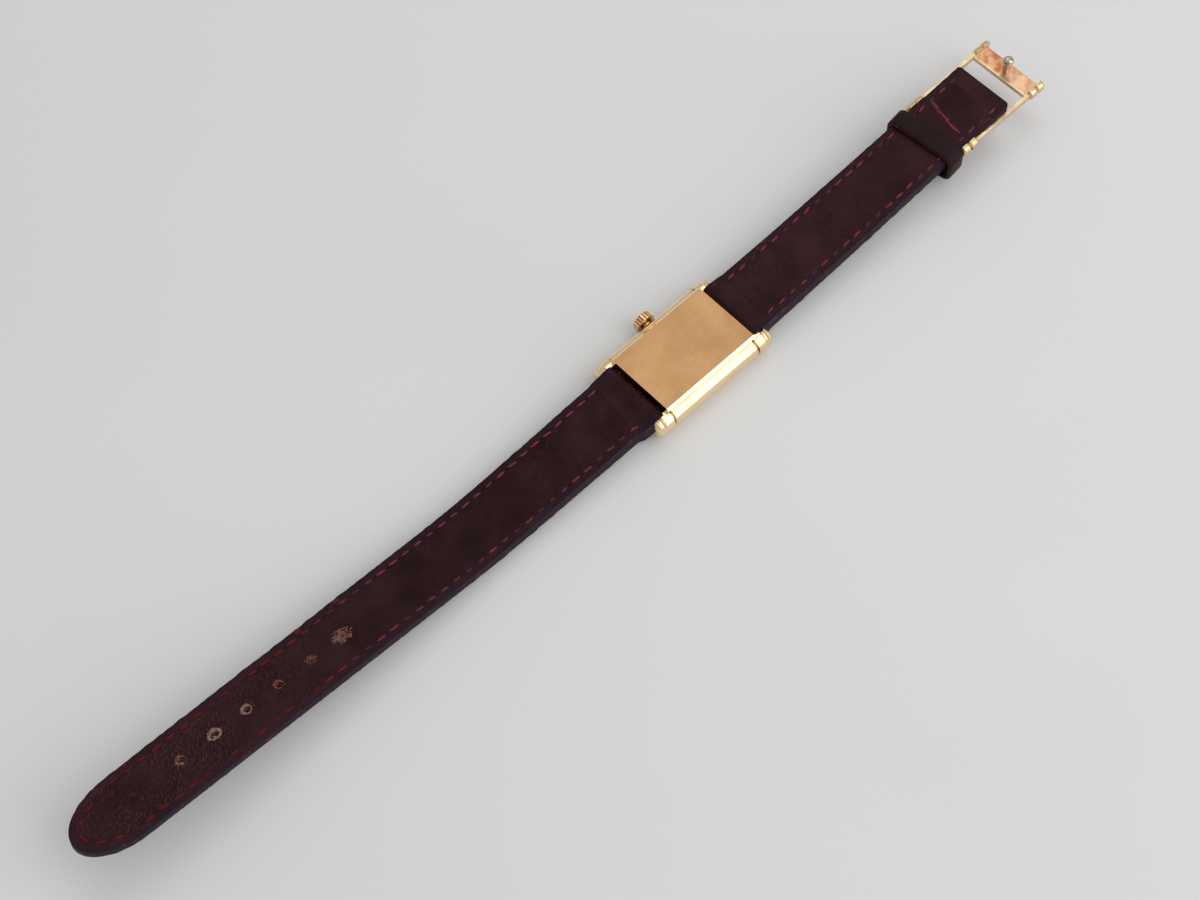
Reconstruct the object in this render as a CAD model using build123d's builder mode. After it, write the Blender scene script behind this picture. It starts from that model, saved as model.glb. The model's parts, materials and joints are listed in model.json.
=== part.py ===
from build123d import *
import os
from math import atan2, cos, degrees, pi, radians, sin

# A lady's rectangular wristwatch on a two-piece leather strap, lying on its crystal.
# +X points to twelve o'clock and the buckle, +Y to the crown, +Z out of the case back.
# The origin is the middle of the crystal's outer face. Millimetres.

# Case, from the crystal's face up to the back
crystal_proud = 0.5
flank_radius = 2.1
flank_length = 19.6
flank_edge_round = 0.25
wall_end_length = 20.3
back_length = 20.6
back_thickness = 1.0
back_bevel = 0.42
back_lip_depth = 0.6
back_lip_wall = 0.6
lug_gap = 0.3
lug_length = 3.45
lug_core_radius = 1.3
lug_core_reach = 1.0
lug_end_round = 1.15
lug_groove_place = 2.2
lug_groove_ring_radius = 2.65
lug_groove_wire_radius = 0.5
lug_groove_shift = 0.45
lug_groove_angle = radians(57)
lug_groove_round = 0.15
lug_clearance = 0.1
lug_core_depth = 0.325

# Crystal and dial opening
crystal_length = 15.8
crystal_width = 10.2
crystal_thickness = 1.0
crystal_bevel = 0.3
crystal_seal_wall = 0.15
aperture_length = 14.6
aperture_width = 8.9
rehaut_depth = 0.65
cavity_length = 17.4
cavity_width = 10.6

# Dial, hands and hour markers
dial_thickness = 0.25
dial_clearance = 0.1
dial_foot_radius = 0.3
dial_foot_length = 0.5
marker_width = 0.25
marker_length = 1.1
marker_height = 0.08
marker_margin = 0.45
end_marker_share = 0.5
side_marker_share = 0.62
hand_thickness = 0.1
hand_width = 0.5
hand_tip_width = 0.16
hand_hub_radius = 0.6
hour_hand_length = 2.7
minute_hand_length = 3.7
hand_tail = 0.9
hour_hand_level = 1.37
minute_hand_level = 1.15
cannon_radius = 0.3
hour_tube_radius = 0.45
minute_hand_angle = radians(60)
hour_hand_angle = radians(-55)
running_clearance = 0.03

# Movement: plates, ring, cell and screws
ring_clearance = 0.05
plate_length = 15.4
plate_width = 9.6
main_plate_thickness = 0.8
motion_recess_depth = 0.45
motion_recess_radius = 1.55
ring_height = 2.1
stem_slot_width = 1.6
cell_radius = 2.9
cell_thickness = 1.65
cell_step = 0.35
cell_x = -4.5
cell_y = -1.5
cell_clearance = 0.1
cell_floor = 0.35
bridge_level = 3.55
bridge_thickness = 0.3
pivot_radius = 0.12
pivot_clearance = 0.03
pillar_radius = 0.5
bridge_end_radius = 1.0
bridge_middle_radius = 1.2
near_screw_distance = 2.4
near_screw_bearing = radians(125)
far_screw_distance = 4.0
far_screw_bearing = radians(-4)
screw_radius = 0.2
screw_head_radius = 0.42
screw_head_height = 0.22
screw_slot_width = 0.1

# Gear train: tooth counts are exact, module in millimetres
train_module = 0.045
centre_teeth = 72
intermediate_teeth = 60
intermediate_leaves = 8
rotor_leaves = 6
motion_module = 0.07
cannon_teeth = 12
minute_teeth = 36
minute_leaves = 10
hour_teeth = 40
wheel_thickness = 0.12
centre_wheel_level = 2.92
intermediate_wheel_level = 3.24
rotor_magnet_level = 2.76
rotor_magnet_radius = 0.6
rotor_magnet_height = 0.28
intermediate_bearing = radians(-37)
rotor_bearing = radians(-29)
minute_wheel_bearing = radians(25)
minute_post_radius = 0.15
addendum_share = 0.75
dedendum_share = 1.0
tooth_root_share = 0.5
tooth_tip_share = 0.24

# Coil, stator and circuit
stator_thickness = 0.28
stator_hole_radius = 0.8
stator_ring_radius = 1.3
stator_arm_offset = 0.78
coil_x = 3.85
coil_y = -3.85
coil_length = 4.4
coil_radius = 0.6
core_length = 6.4
core_width = 0.8
core_thickness = 0.3
circuit_thickness = 0.2
circuit_length = 2.6
circuit_width = 6.6
circuit_x = 6.1
circuit_y = 0.9
quartz_radius = 0.55
quartz_length = 3.6
chip_length = 1.3
chip_height = 0.4
clamp_thickness = 0.15
clamp_width = 1.2
clamp_screw_y = 3.1

# Crown and stem
stem_level = 2.75
stem_radius = 0.4
pilot_radius = 0.25
pilot_reserve = 0.15
sliding_pinion_radius = 0.5
sliding_pinion_length = 0.65
sliding_pinion_y = 2.75
sliding_pinion_teeth = 12
stem_waist_radius = 0.22
stem_waist_width = 0.6
trough_clearance = 0.15
case_tube_radius = 0.75
case_tube_bore = 0.5
case_tube_reach = 0.5
crown_radius = 1.95
crown_stand_off = 0.325
crown_thickness = 1.35
crown_face_round = 0.25
crown_flutes = 20
crown_flute_radius = 0.17
crown_flute_offset = 0.06
crown_recess_radius = 1.15
crown_recess_depth = 0.75
crown_pull = 0.8
crown_seal_clearance = 0.02
crown_seal_width = 0.4
lever_length = 1.9
lever_width = 0.6
lever_thickness = 0.2
lever_pin_radius = 0.15
lever_pin_y = 3.9
lever_pivot_radius = 0.2

# Spring bars: a tube with a sprung plunger at each end
bar_x = 12.5
bar_level = 2.95
bar_tube_radius = 0.75
bar_tube_bore = 0.5
bar_end_gap = 0.2
plunger_head_length = 1.6
plunger_tip_radius = 0.35
plunger_reach = 0.75
plunger_lip_bore = 0.38
plunger_lip_length = 0.3
plunger_stop = 0.02
bar_spring_wire = 0.12
tunnel_clearance = 0.08
socket_clearance = 0.05
tool_notch_radius = 0.4
tool_notch_depth = 1.1

# Straps
strap_width = 12.0
nose_radius = 1.7
leather = 0.7
long_fold_length = 4.0
short_fold_length = 2.7
long_strap_length = 114.2
long_strap_taper = 1.3
long_strap_tip_length = 9.8
long_strap_leans = (radians(-1.8), radians(6.2))
long_strap_runs = (24.6, 140.0)
long_strap_halves = (nose_radius, 1.25, 1.1, 0.92)
hole_count = 6
hole_pitch = 6.2
hole_radius = 0.75
first_hole_from_tip = 19.7
short_strap_length = 63.5
short_strap_taper = 0.3
short_strap_leans = (radians(3.4), radians(4.9))
short_strap_runs = (12.6, 700.0)
short_strap_halves = (nose_radius, 1.4, 1.3, 1.05)
buckle_bar_from_end = 11.0

# Sliding loop
loop_from_buckle_bar = 4.8
loop_band_width = 3.8
loop_thickness = 0.9
loop_clearance = 0.28
loop_round = 0.7
loop_tail_room = 2.1

# Buckle
buckle_side_clearance = 0.2
buckle_arm_thickness = 0.65
buckle_arm_height = 1.1
buckle_length = 17.1
buckle_plate_width = 3.8
buckle_plate_thickness = 0.8
buckle_plate_round = 0.2
buckle_corner_round = 0.8
buckle_rib_radius = 1.15
buckle_rib_width = 1.9
buckle_rib_round = 0.55
buckle_rib_overrun = 0.8
stud_neck_radius = 0.6
stud_head_radius = 0.95
stud_neck_height = 2.3
stud_head_height = 1.3
stud_shank_radius = 0.45
stud_crown_share = 0.7
buckle_bar_tube_radius = 0.6
buckle_bar_tube_bore = 0.42
buckle_plunger_tip_radius = 0.3
buckle_plunger_reach = 0.55

# One overrun serves every through cut
overrun = 1.0

os.makedirs("parts", exist_ok=True)

# Levels that follow from the sizes above
flank_level = crystal_proud + flank_radius
case_top = crystal_proud + 2 * flank_radius
dial_level = crystal_thickness + rehaut_depth
plate_level = dial_level + dial_thickness
plate_top = plate_level + main_plate_thickness
motion_level = plate_level + motion_recess_depth
lug_opening = strap_width + 2 * lug_clearance
lug_inner_y = lug_opening / 2
flank_spacing = lug_opening + 2 * lug_core_depth
flank_y = flank_spacing / 2
lug_start = flank_length / 2 + lug_gap
back_width = flank_spacing + 2 * back_bevel
cell_bottom = plate_level + cell_floor
crown_inner_y = flank_y + flank_radius + crown_stand_off
crown_outer_y = crown_inner_y + crown_thickness
case_tube_end_y = crown_inner_y + case_tube_reach
stem_inner_y = sliding_pinion_y - crown_pull - pilot_reserve
stem_shoulder_y = sliding_pinion_y + sliding_pinion_length + cell_clearance


def facing_crown(x, y, z):
    return Plane(origin=(x, y, z), x_dir=(1, 0, 0), z_dir=(0, 1, 0))


def facing_buckle(x, y, z):
    return Plane(origin=(x, y, z), x_dir=(0, 1, 0), z_dir=(1, 0, 0))


def save(piece, name):
    piece.part.label = name
    export_step(piece.part, f"parts/{name}.step")


# Lug: it goes on with the flank's round outline beyond a thin gap and is rounded off at its end.
# A leaf-shaped groove on its upper side, cut by a ring set off its middle, leaves two lobes.
def lug(side, end):
    with BuildPart(mode=Mode.PRIVATE) as bar:
        with BuildSketch(facing_buckle(end * lug_start, side * flank_y, flank_level)):
            Circle(flank_radius)
        extrude(amount=end * lug_length)
        rims = bar.edges().filter_by(GeomType.CIRCLE).sort_by(Axis.X)
        fillet(rims[-1] if end > 0 else rims[0], radius=lug_end_round)
        ring_y = side * (flank_y - lug_groove_shift * cos(lug_groove_angle))
        ring_z = flank_level - lug_groove_shift * sin(lug_groove_angle)
        with Locations(Location((end * (lug_start + lug_groove_place), ring_y, ring_z), (0, 90, 0))):
            Torus(lug_groove_ring_radius, lug_groove_wire_radius, mode=Mode.SUBTRACT)
        fillet(bar.edges().filter_by(GeomType.BSPLINE), radius=lug_groove_round)
        with BuildSketch(facing_crown(end * lug_start, -side * lug_inner_y, flank_level)):
            Rectangle(3 * lug_length, 4 * flank_radius)
        extrude(amount=side * 2 * lug_inner_y, mode=Mode.SUBTRACT)
    return bar.part


# Case middle: a rectangular body between two half-round flanks, with a lug at each corner
with BuildPart() as case_middle:
    with BuildSketch(Plane.XY.offset(crystal_proud)):
        Rectangle(wall_end_length, flank_spacing)
    extrude(amount=2 * flank_radius)
    for side in (-1, 1):
        with BuildSketch(facing_buckle(-flank_length / 2, side * flank_y, flank_level)):
            Circle(flank_radius)
        extrude(amount=flank_length)
    fillet(case_middle.edges().filter_by(GeomType.CIRCLE), radius=flank_edge_round)
    for side in (-1, 1):
        for end in (-1, 1):
            add(lug(side, end))
    # The gap before each lug is bridged by a smaller core, so a curved slit shows
    for side in (-1, 1):
        with BuildSketch(facing_buckle(0, side * flank_y, flank_level)):
            with BuildLine():
                drop = flank_y - lug_inner_y
                CenterArc((0, 0), lug_core_radius, -90, 180 * side)
                Polyline((0, lug_core_radius), (-side * drop, lug_core_radius),
                         (-side * drop, -lug_core_radius), (0, -lug_core_radius))
            make_face()
        extrude(amount=lug_start + lug_core_reach, both=True)
    # Dial opening, crystal seat, movement cavity
    with BuildSketch(Plane.XY):
        Rectangle(crystal_length + 2 * crystal_seal_wall, crystal_width + 2 * crystal_seal_wall)
    extrude(amount=crystal_thickness, mode=Mode.SUBTRACT)
    with BuildSketch(Plane.XY):
        Rectangle(aperture_length, aperture_width)
    extrude(amount=dial_level + overrun, mode=Mode.SUBTRACT)
    with BuildSketch(Plane.XY.offset(dial_level)):
        Rectangle(cavity_length, cavity_width)
    extrude(amount=case_top - dial_level, mode=Mode.SUBTRACT)
    # Stem hole through the flank on the crown's side
    with BuildSketch(facing_crown(0, 0, stem_level)):
        Circle(case_tube_radius)
    extrude(amount=flank_y + flank_radius + overrun, mode=Mode.SUBTRACT)
    # Spring bar sockets, and a small notch for the fitting tool over each
    for side in (-1, 1):
        for end in (-1, 1):
            with BuildSketch(facing_crown(end * bar_x, side * lug_inner_y, bar_level)):
                Circle(plunger_tip_radius + socket_clearance)
            extrude(amount=side * (plunger_reach + socket_clearance), mode=Mode.SUBTRACT)
            with BuildSketch(Plane.XY.offset(case_top - tool_notch_depth)):
                with Locations((end * bar_x, side * lug_inner_y)):
                    Circle(tool_notch_radius)
            extrude(amount=tool_notch_depth + overrun, mode=Mode.SUBTRACT)
save(case_middle, "case_middle")

# Case back: a flat plate with bevelled long sides that snaps into the case
lip_length = cavity_length - 2 * ring_clearance
lip_width = cavity_width - 2 * ring_clearance
with BuildPart() as case_back:
    with BuildSketch(Plane.XY.offset(case_top)):
        Rectangle(back_length, back_width)
    extrude(amount=back_thickness)
    top_edges = case_back.faces().sort_by(Axis.Z)[-1].edges()
    chamfer(top_edges.filter_by(Axis.X), length=back_bevel)
    with BuildSketch(Plane.XY.offset(case_top - back_lip_depth)):
        Rectangle(lip_length, lip_width)
        Rectangle(lip_length - 2 * back_lip_wall, lip_width - 2 * back_lip_wall, mode=Mode.SUBTRACT)
        # The lip is open beside the stem, as the movement ring is
        with Locations((0, lip_width / 2)):
            Rectangle(stem_slot_width, 4 * back_lip_wall, mode=Mode.SUBTRACT)
    extrude(amount=back_lip_depth)
save(case_back, "case_back")

# Crystal with bevelled edges, and the seal that presses it into its seat
with BuildPart() as crystal:
    with BuildSketch(Plane.XY):
        Rectangle(crystal_length, crystal_width)
    extrude(amount=crystal_thickness)
    chamfer(crystal.faces().sort_by(Axis.Z)[0].edges(), length=crystal_bevel)
save(crystal, "crystal")

with BuildPart() as crystal_seal:
    with BuildSketch(Plane.XY.offset(crystal_proud)):
        Rectangle(crystal_length + 2 * crystal_seal_wall, crystal_width + 2 * crystal_seal_wall)
        Rectangle(crystal_length, crystal_width, mode=Mode.SUBTRACT)
    extrude(amount=crystal_thickness - crystal_proud)
save(crystal_seal, "crystal_seal")

# Dial with two feet that plug into the main plate
dial_length = cavity_length - 2 * dial_clearance
dial_width = cavity_width - 2 * dial_clearance
foot_places = [(plate_length / 2 - 2 * dial_foot_radius, -plate_width / 2 + 3 * dial_foot_radius),
               (-plate_length / 2 + 2 * dial_foot_radius, plate_width / 2 - 3 * dial_foot_radius)]
with BuildPart() as dial:
    with BuildSketch(Plane.XY.offset(dial_level)):
        Rectangle(dial_length, dial_width)
        Circle(hour_tube_radius + 2 * running_clearance, mode=Mode.SUBTRACT)
    extrude(amount=dial_thickness)
    with BuildSketch(Plane.XY.offset(plate_level)):
        with Locations(*foot_places):
            Circle(dial_foot_radius)
    extrude(amount=dial_foot_length)
save(dial, "dial")

# Hour markers: twelve applied bars round the edge of the dial
marker_x = aperture_length / 2 - marker_margin - marker_length / 2
marker_y = aperture_width / 2 - marker_margin - marker_length / 2
marker_places = []
for sign in (-1, 1):
    for step in (-1, 0, 1):
        marker_places.append((sign * marker_x, step * marker_y * end_marker_share, 0))
        marker_places.append((step * marker_x * side_marker_share, sign * marker_y, 90))
with BuildPart() as hour_markers:
    with BuildSketch(Plane.XY.offset(dial_level - marker_height)):
        for place_x, place_y, turn in marker_places:
            with Locations(Location((place_x, place_y, 0), (0, 0, turn))):
                Rectangle(marker_length, marker_width)
    extrude(amount=marker_height)
save(hour_markers, "hour_markers")


def hand_outline(level, length, hub, angle):
    with BuildSketch(Plane(origin=(0, 0, level), x_dir=(cos(angle), sin(angle), 0))) as outline:
        with BuildLine():
            Polyline((-hand_tail, -hand_tip_width), (hub / 2, -hand_width / 2),
                     (length, -hand_tip_width / 2), (length, hand_tip_width / 2),
                     (hub / 2, hand_width / 2), (-hand_tail, hand_tip_width), close=True)
        make_face()
        Circle(hub)
    return outline.sketch


def gear_outline(level, teeth, module, place=(0, 0), turn=0.0):
    root_radius = (teeth / 2 - dedendum_share) * module
    tip_radius = (teeth / 2 + addendum_share) * module
    step = 2 * pi / teeth
    points = []
    for tooth in range(teeth):
        for radius, share in ((root_radius, -tooth_root_share), (tip_radius, -tooth_tip_share),
                              (tip_radius, tooth_tip_share), (root_radius, tooth_root_share)):
            angle = turn + (tooth + share / 2) * step
            points.append((place[0] + radius * cos(angle), place[1] + radius * sin(angle)))
    with BuildSketch(Plane.XY.offset(level)) as outline:
        with BuildLine():
            Polyline(*points, close=True)
        make_face()
    return outline.sketch


def disc(level, radius, height, place=(0, 0)):
    with BuildSketch(Plane.XY.offset(level)) as outline:
        with Locations(place):
            Circle(radius)
    return extrude(outline.sketch, amount=height, mode=Mode.PRIVATE)


# Places of the arbors
train_distance = (centre_teeth + intermediate_leaves) * train_module / 2
rotor_distance = (intermediate_teeth + rotor_leaves) * train_module / 2
motion_distance = (cannon_teeth + minute_teeth) * motion_module / 2
reduction_module = 2 * motion_distance / (minute_leaves + hour_teeth)
intermediate_place = (train_distance * cos(intermediate_bearing),
                      train_distance * sin(intermediate_bearing))
rotor_place = (intermediate_place[0] + rotor_distance * cos(rotor_bearing),
               intermediate_place[1] + rotor_distance * sin(rotor_bearing))
minute_wheel_place = (motion_distance * cos(minute_wheel_bearing),
                      motion_distance * sin(minute_wheel_bearing))


def meshing_turn(bearing, teeth, driver_teeth, driver_turn=0.0):
    # Turns a gear so that its gaps face the teeth of its driver, which lies opposite the bearing
    driver_phase = ((bearing - driver_turn) * driver_teeth / (2 * pi)) % 1.0
    return bearing + pi + (0.5 + driver_phase) * 2 * pi / teeth


intermediate_turn = meshing_turn(intermediate_bearing, intermediate_leaves, centre_teeth)
rotor_turn = meshing_turn(rotor_bearing, rotor_leaves, intermediate_teeth, intermediate_turn)
minute_wheel_turn = meshing_turn(minute_wheel_bearing, minute_teeth, cannon_teeth)
hour_turn = meshing_turn(minute_wheel_bearing + pi, hour_teeth, minute_leaves, minute_wheel_turn)

# Centre arbor: centre wheel above the plate, cannon pinion and minute hand below the dial
cannon_wheel_level = motion_level - wheel_thickness - running_clearance
hour_wheel_level = cannon_wheel_level - wheel_thickness - running_clearance
with BuildPart() as centre_wheel:
    extrude(gear_outline(centre_wheel_level, centre_teeth, train_module), amount=wheel_thickness)
    add(disc(minute_hand_level - hand_thickness / 2, cannon_radius,
             bridge_level - minute_hand_level + hand_thickness / 2))
    add(disc(bridge_level, pivot_radius, bridge_thickness))
save(centre_wheel, "centre_wheel")

with BuildPart() as cannon_pinion:
    extrude(gear_outline(cannon_wheel_level, cannon_teeth, motion_module), amount=wheel_thickness)
    add(disc(cannon_wheel_level, cannon_radius, wheel_thickness), mode=Mode.SUBTRACT)
save(cannon_pinion, "cannon_pinion")

with BuildPart() as hour_wheel:
    extrude(gear_outline(hour_wheel_level, hour_teeth, reduction_module, turn=hour_turn),
            amount=wheel_thickness)
    add(disc(hour_hand_level, hour_tube_radius, hour_wheel_level - hour_hand_level))
    add(disc(hour_hand_level, cannon_radius + running_clearance,
             hour_wheel_level + wheel_thickness - hour_hand_level), mode=Mode.SUBTRACT)
save(hour_wheel, "hour_wheel")

with BuildPart() as minute_wheel:
    extrude(gear_outline(cannon_wheel_level, minute_teeth, motion_module,
                         minute_wheel_place, minute_wheel_turn), amount=wheel_thickness)
    extrude(gear_outline(hour_wheel_level, minute_leaves, reduction_module,
                         minute_wheel_place, minute_wheel_turn),
            amount=wheel_thickness + running_clearance)
    add(disc(hour_wheel_level, minute_post_radius + running_clearance,
             2 * wheel_thickness + running_clearance, minute_wheel_place), mode=Mode.SUBTRACT)
save(minute_wheel, "minute_wheel")

with BuildPart() as intermediate_wheel:
    extrude(gear_outline(intermediate_wheel_level, intermediate_teeth, train_module,
                         intermediate_place, intermediate_turn), amount=wheel_thickness)
    extrude(gear_outline(centre_wheel_level - wheel_thickness / 2, intermediate_leaves, train_module,
                         intermediate_place, intermediate_turn),
            amount=intermediate_wheel_level - centre_wheel_level + wheel_thickness)
    add(disc(plate_top - wheel_thickness, pivot_radius,
             bridge_level + bridge_thickness - plate_top + wheel_thickness, intermediate_place))
save(intermediate_wheel, "intermediate_wheel")

with BuildPart() as rotor:
    add(disc(rotor_magnet_level, rotor_magnet_radius, rotor_magnet_height, rotor_place))
    extrude(gear_outline(rotor_magnet_level, rotor_leaves, train_module, rotor_place, rotor_turn),
            amount=bridge_level - rotor_magnet_level - running_clearance)
    add(disc(plate_top - wheel_thickness, pivot_radius / 2,
             bridge_level + bridge_thickness - plate_top + wheel_thickness, rotor_place))
save(rotor, "rotor")

# Hands, pressed on their tubes and set at ten past ten
with BuildPart() as minute_hand:
    extrude(hand_outline(minute_hand_level - hand_thickness / 2, minute_hand_length,
                         hand_hub_radius, minute_hand_angle), amount=hand_thickness)
    add(disc(minute_hand_level - hand_thickness, cannon_radius, 2 * hand_thickness), mode=Mode.SUBTRACT)
save(minute_hand, "minute_hand")

with BuildPart() as hour_hand:
    extrude(hand_outline(hour_hand_level, hour_hand_length,
                         hand_hub_radius + hand_thickness, hour_hand_angle), amount=hand_thickness)
    add(disc(hour_hand_level - hand_thickness, hour_tube_radius, 3 * hand_thickness), mode=Mode.SUBTRACT)
save(hour_hand, "hour_hand")

# Main plate with the cell's well, the motion-work recess and the bearings
bridge_screws = [(distance * cos(bearing), distance * sin(bearing))
                 for distance, bearing in ((near_screw_distance, near_screw_bearing),
                                           (far_screw_distance, far_screw_bearing))]
coil_window_length = coil_length + 2 * cell_clearance
coil_window_width = 2 * (coil_radius + cell_clearance)
clamp_screw_place = (cell_x, clamp_screw_y)
with BuildPart() as main_plate:
    with BuildSketch(Plane.XY.offset(plate_level)):
        Rectangle(plate_length, plate_width)
    extrude(amount=main_plate_thickness)
    with BuildSketch(Plane.XY.offset(plate_level)):
        Circle(motion_recess_radius)
        with Locations(minute_wheel_place):
            Circle(motion_recess_radius)
    extrude(amount=motion_recess_depth, mode=Mode.SUBTRACT)
    add(disc(hour_wheel_level, minute_post_radius, motion_level - hour_wheel_level, minute_wheel_place))
    with BuildSketch(Plane.XY.offset(cell_bottom)):
        with Locations((cell_x, cell_y)):
            Circle(cell_radius + cell_clearance)
    extrude(amount=main_plate_thickness, mode=Mode.SUBTRACT)
    with BuildSketch(Plane.XY.offset(plate_level - overrun)):
        Circle(cannon_radius + running_clearance)
        with Locations(intermediate_place):
            Circle(pivot_radius + pivot_clearance)
        with Locations(rotor_place):
            Circle(pivot_radius / 2 + pivot_clearance)
        with Locations(*foot_places):
            Circle(dial_foot_radius + running_clearance)
        with Locations(*bridge_screws, clamp_screw_place):
            Circle(screw_radius)
        with Locations((coil_x, coil_y)):
            Rectangle(coil_window_length, coil_window_width)
    extrude(amount=main_plate_thickness + 2 * overrun, mode=Mode.SUBTRACT)
    # Trough for the stem, from the plate's edge inwards
    with BuildSketch(facing_crown(0, stem_inner_y - trough_clearance, stem_level)):
        Circle(sliding_pinion_radius + trough_clearance)
    extrude(amount=plate_width, mode=Mode.SUBTRACT)
    with BuildSketch(Plane.XY.offset(plate_level + cell_floor)):
        with Locations((lever_length, lever_pin_y)):
            Circle(lever_pivot_radius)
    extrude(amount=main_plate_thickness, mode=Mode.SUBTRACT)
save(main_plate, "main_plate")

with BuildPart() as movement_ring:
    with BuildSketch(Plane.XY.offset(plate_level)):
        Rectangle(cavity_length - 2 * dial_clearance, cavity_width - 2 * dial_clearance)
        Rectangle(plate_length + 2 * ring_clearance, plate_width + 2 * ring_clearance, mode=Mode.SUBTRACT)
    extrude(amount=ring_height)
    with BuildSketch(facing_crown(0, 0, stem_level)):
        Rectangle(stem_slot_width, stem_slot_width)
    extrude(amount=cavity_width, mode=Mode.SUBTRACT)
save(movement_ring, "movement_ring")

with BuildPart() as cell:
    add(disc(cell_bottom, cell_radius, cell_thickness - cell_step, (cell_x, cell_y)))
    add(disc(cell_bottom, cell_radius - cell_step, cell_thickness, (cell_x, cell_y)))
save(cell, "cell")

# Train bridge on two pillars
with BuildPart() as train_bridge:
    with BuildSketch(Plane.XY.offset(bridge_level)):
        for place, radius in ((bridge_screws[0], bridge_end_radius), ((0, 0), bridge_middle_radius),
                              (intermediate_place, bridge_middle_radius),
                              (rotor_place, bridge_end_radius), (bridge_screws[1], bridge_end_radius)):
            with Locations(place):
                Circle(radius)
        with BuildLine():
            Polyline(bridge_screws[0], (0, bridge_end_radius), bridge_screws[1], rotor_place,
                     intermediate_place, (-bridge_end_radius, 0), close=True)
        make_face()
    extrude(amount=bridge_thickness)
    for place in bridge_screws:
        add(disc(plate_top, pillar_radius, bridge_level - plate_top, place))
    with BuildSketch(Plane.XY.offset(plate_top)):
        with Locations(*bridge_screws):
            Circle(screw_radius)
        with Locations((0, 0), intermediate_place):
            Circle(pivot_radius + pivot_clearance)
        with Locations(rotor_place):
            Circle(pivot_radius / 2 + pivot_clearance)
    extrude(amount=bridge_level + bridge_thickness - plate_top, mode=Mode.SUBTRACT)
save(train_bridge, "train_bridge")


def slotted_screw(place, head_level, thread_bottom):
    with BuildPart() as screw:
        add(disc(thread_bottom, screw_radius, head_level - thread_bottom, place))
        add(disc(head_level, screw_head_radius, screw_head_height, place))
        with BuildSketch(Plane.XY.offset(head_level + screw_head_height / 2)):
            with Locations(place):
                Rectangle(2 * screw_head_radius, screw_slot_width)
        extrude(amount=screw_head_height, mode=Mode.SUBTRACT)
    return screw.part


clamp_level = cell_bottom + cell_thickness
with BuildPart() as movement_screws:
    for place in bridge_screws:
        add(slotted_screw(place, bridge_level + bridge_thickness, motion_level + running_clearance))
    add(slotted_screw(clamp_screw_place, clamp_level + clamp_thickness, motion_level + running_clearance))
save(movement_screws, "movement_screws")

# Cell clamp: a strip over the cell, with a pillar at its screw
with BuildPart() as cell_clamp:
    with BuildSketch(Plane.XY.offset(clamp_level)):
        with Locations((cell_x, (clamp_screw_y + cell_y) / 2)):
            SlotCenterToCenter(clamp_screw_y - cell_y, clamp_width, rotation=90)
    extrude(amount=clamp_thickness)
    add(disc(plate_top, pillar_radius, clamp_level - plate_top, clamp_screw_place))
    add(disc(plate_top, screw_radius, clamp_level + clamp_thickness - plate_top, clamp_screw_place),
        mode=Mode.SUBTRACT)
save(cell_clamp, "cell_clamp")

# Stepping motor: stator round the rotor, coil on its core
stator_level = rotor_magnet_level
arm_reach = core_length / 2 - core_width / 2
with BuildPart() as stator:
    with BuildSketch(Plane.XY.offset(stator_level)):
        with Locations(rotor_place):
            Circle(stator_ring_radius)
        for end in (-1, 1):
            foot = Vector(coil_x + end * arm_reach, coil_y)
            shoulder = Vector(rotor_place[0] + end * stator_arm_offset, rotor_place[1])
            arm = shoulder - foot
            with Locations(foot):
                Rectangle(core_width, core_width)
            with Locations((foot + shoulder) / 2):
                SlotCenterToCenter(arm.length, core_width, rotation=degrees(atan2(arm.Y, arm.X)))
        with Locations(rotor_place):
            Circle(stator_hole_radius, mode=Mode.SUBTRACT)
        with Locations(intermediate_place):
            Circle(2 * pivot_radius + pivot_clearance, mode=Mode.SUBTRACT)
        with Locations((coil_x, coil_y)):
            Rectangle(coil_window_length, coil_window_width, mode=Mode.SUBTRACT)
    extrude(amount=stator_thickness)
save(stator, "stator")

core_level = stator_level + stator_thickness
with BuildPart() as coil_core:
    with BuildSketch(Plane.XY.offset(core_level)):
        with Locations((coil_x, coil_y)):
            Rectangle(core_length, core_width)
    extrude(amount=core_thickness)
save(coil_core, "coil_core")

coil_axis_level = core_level + core_thickness / 2
with BuildPart() as coil:
    with BuildSketch(facing_buckle(coil_x - coil_length / 2, coil_y, coil_axis_level)):
        Circle(coil_radius)
        Rectangle(core_width, core_thickness, mode=Mode.SUBTRACT)
    extrude(amount=coil_length)
save(coil, "coil")

# Circuit board with its chip, and the quartz resonator's can lying on it
with BuildPart() as circuit_board:
    with BuildSketch(Plane.XY.offset(plate_top)):
        with Locations((circuit_x, circuit_y)):
            Rectangle(circuit_length, circuit_width)
    extrude(amount=circuit_thickness)
    with BuildSketch(Plane.XY.offset(plate_top + circuit_thickness)):
        with Locations((circuit_x - circuit_length / 4, circuit_y + circuit_width / 3)):
            Rectangle(chip_length / 2, chip_length)
    extrude(amount=chip_height)
save(circuit_board, "circuit_board")

quartz_level = plate_top + circuit_thickness + quartz_radius
quartz_x = circuit_x + circuit_length / 2 - quartz_radius
with BuildPart() as quartz_can:
    with BuildSketch(facing_crown(quartz_x, circuit_y - quartz_length / 2, quartz_level)):
        Circle(quartz_radius)
    extrude(amount=quartz_length)
    fillet(quartz_can.edges().filter_by(GeomType.CIRCLE), radius=quartz_radius / 4)
save(quartz_can, "quartz_can")

# Crown, stem and the tube they run in
with BuildPart() as case_tube:
    with BuildSketch(facing_crown(0, cavity_width / 2, stem_level)):
        Circle(case_tube_radius)
        Circle(case_tube_bore, mode=Mode.SUBTRACT)
    extrude(amount=case_tube_end_y - cavity_width / 2)
save(case_tube, "case_tube")

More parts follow.
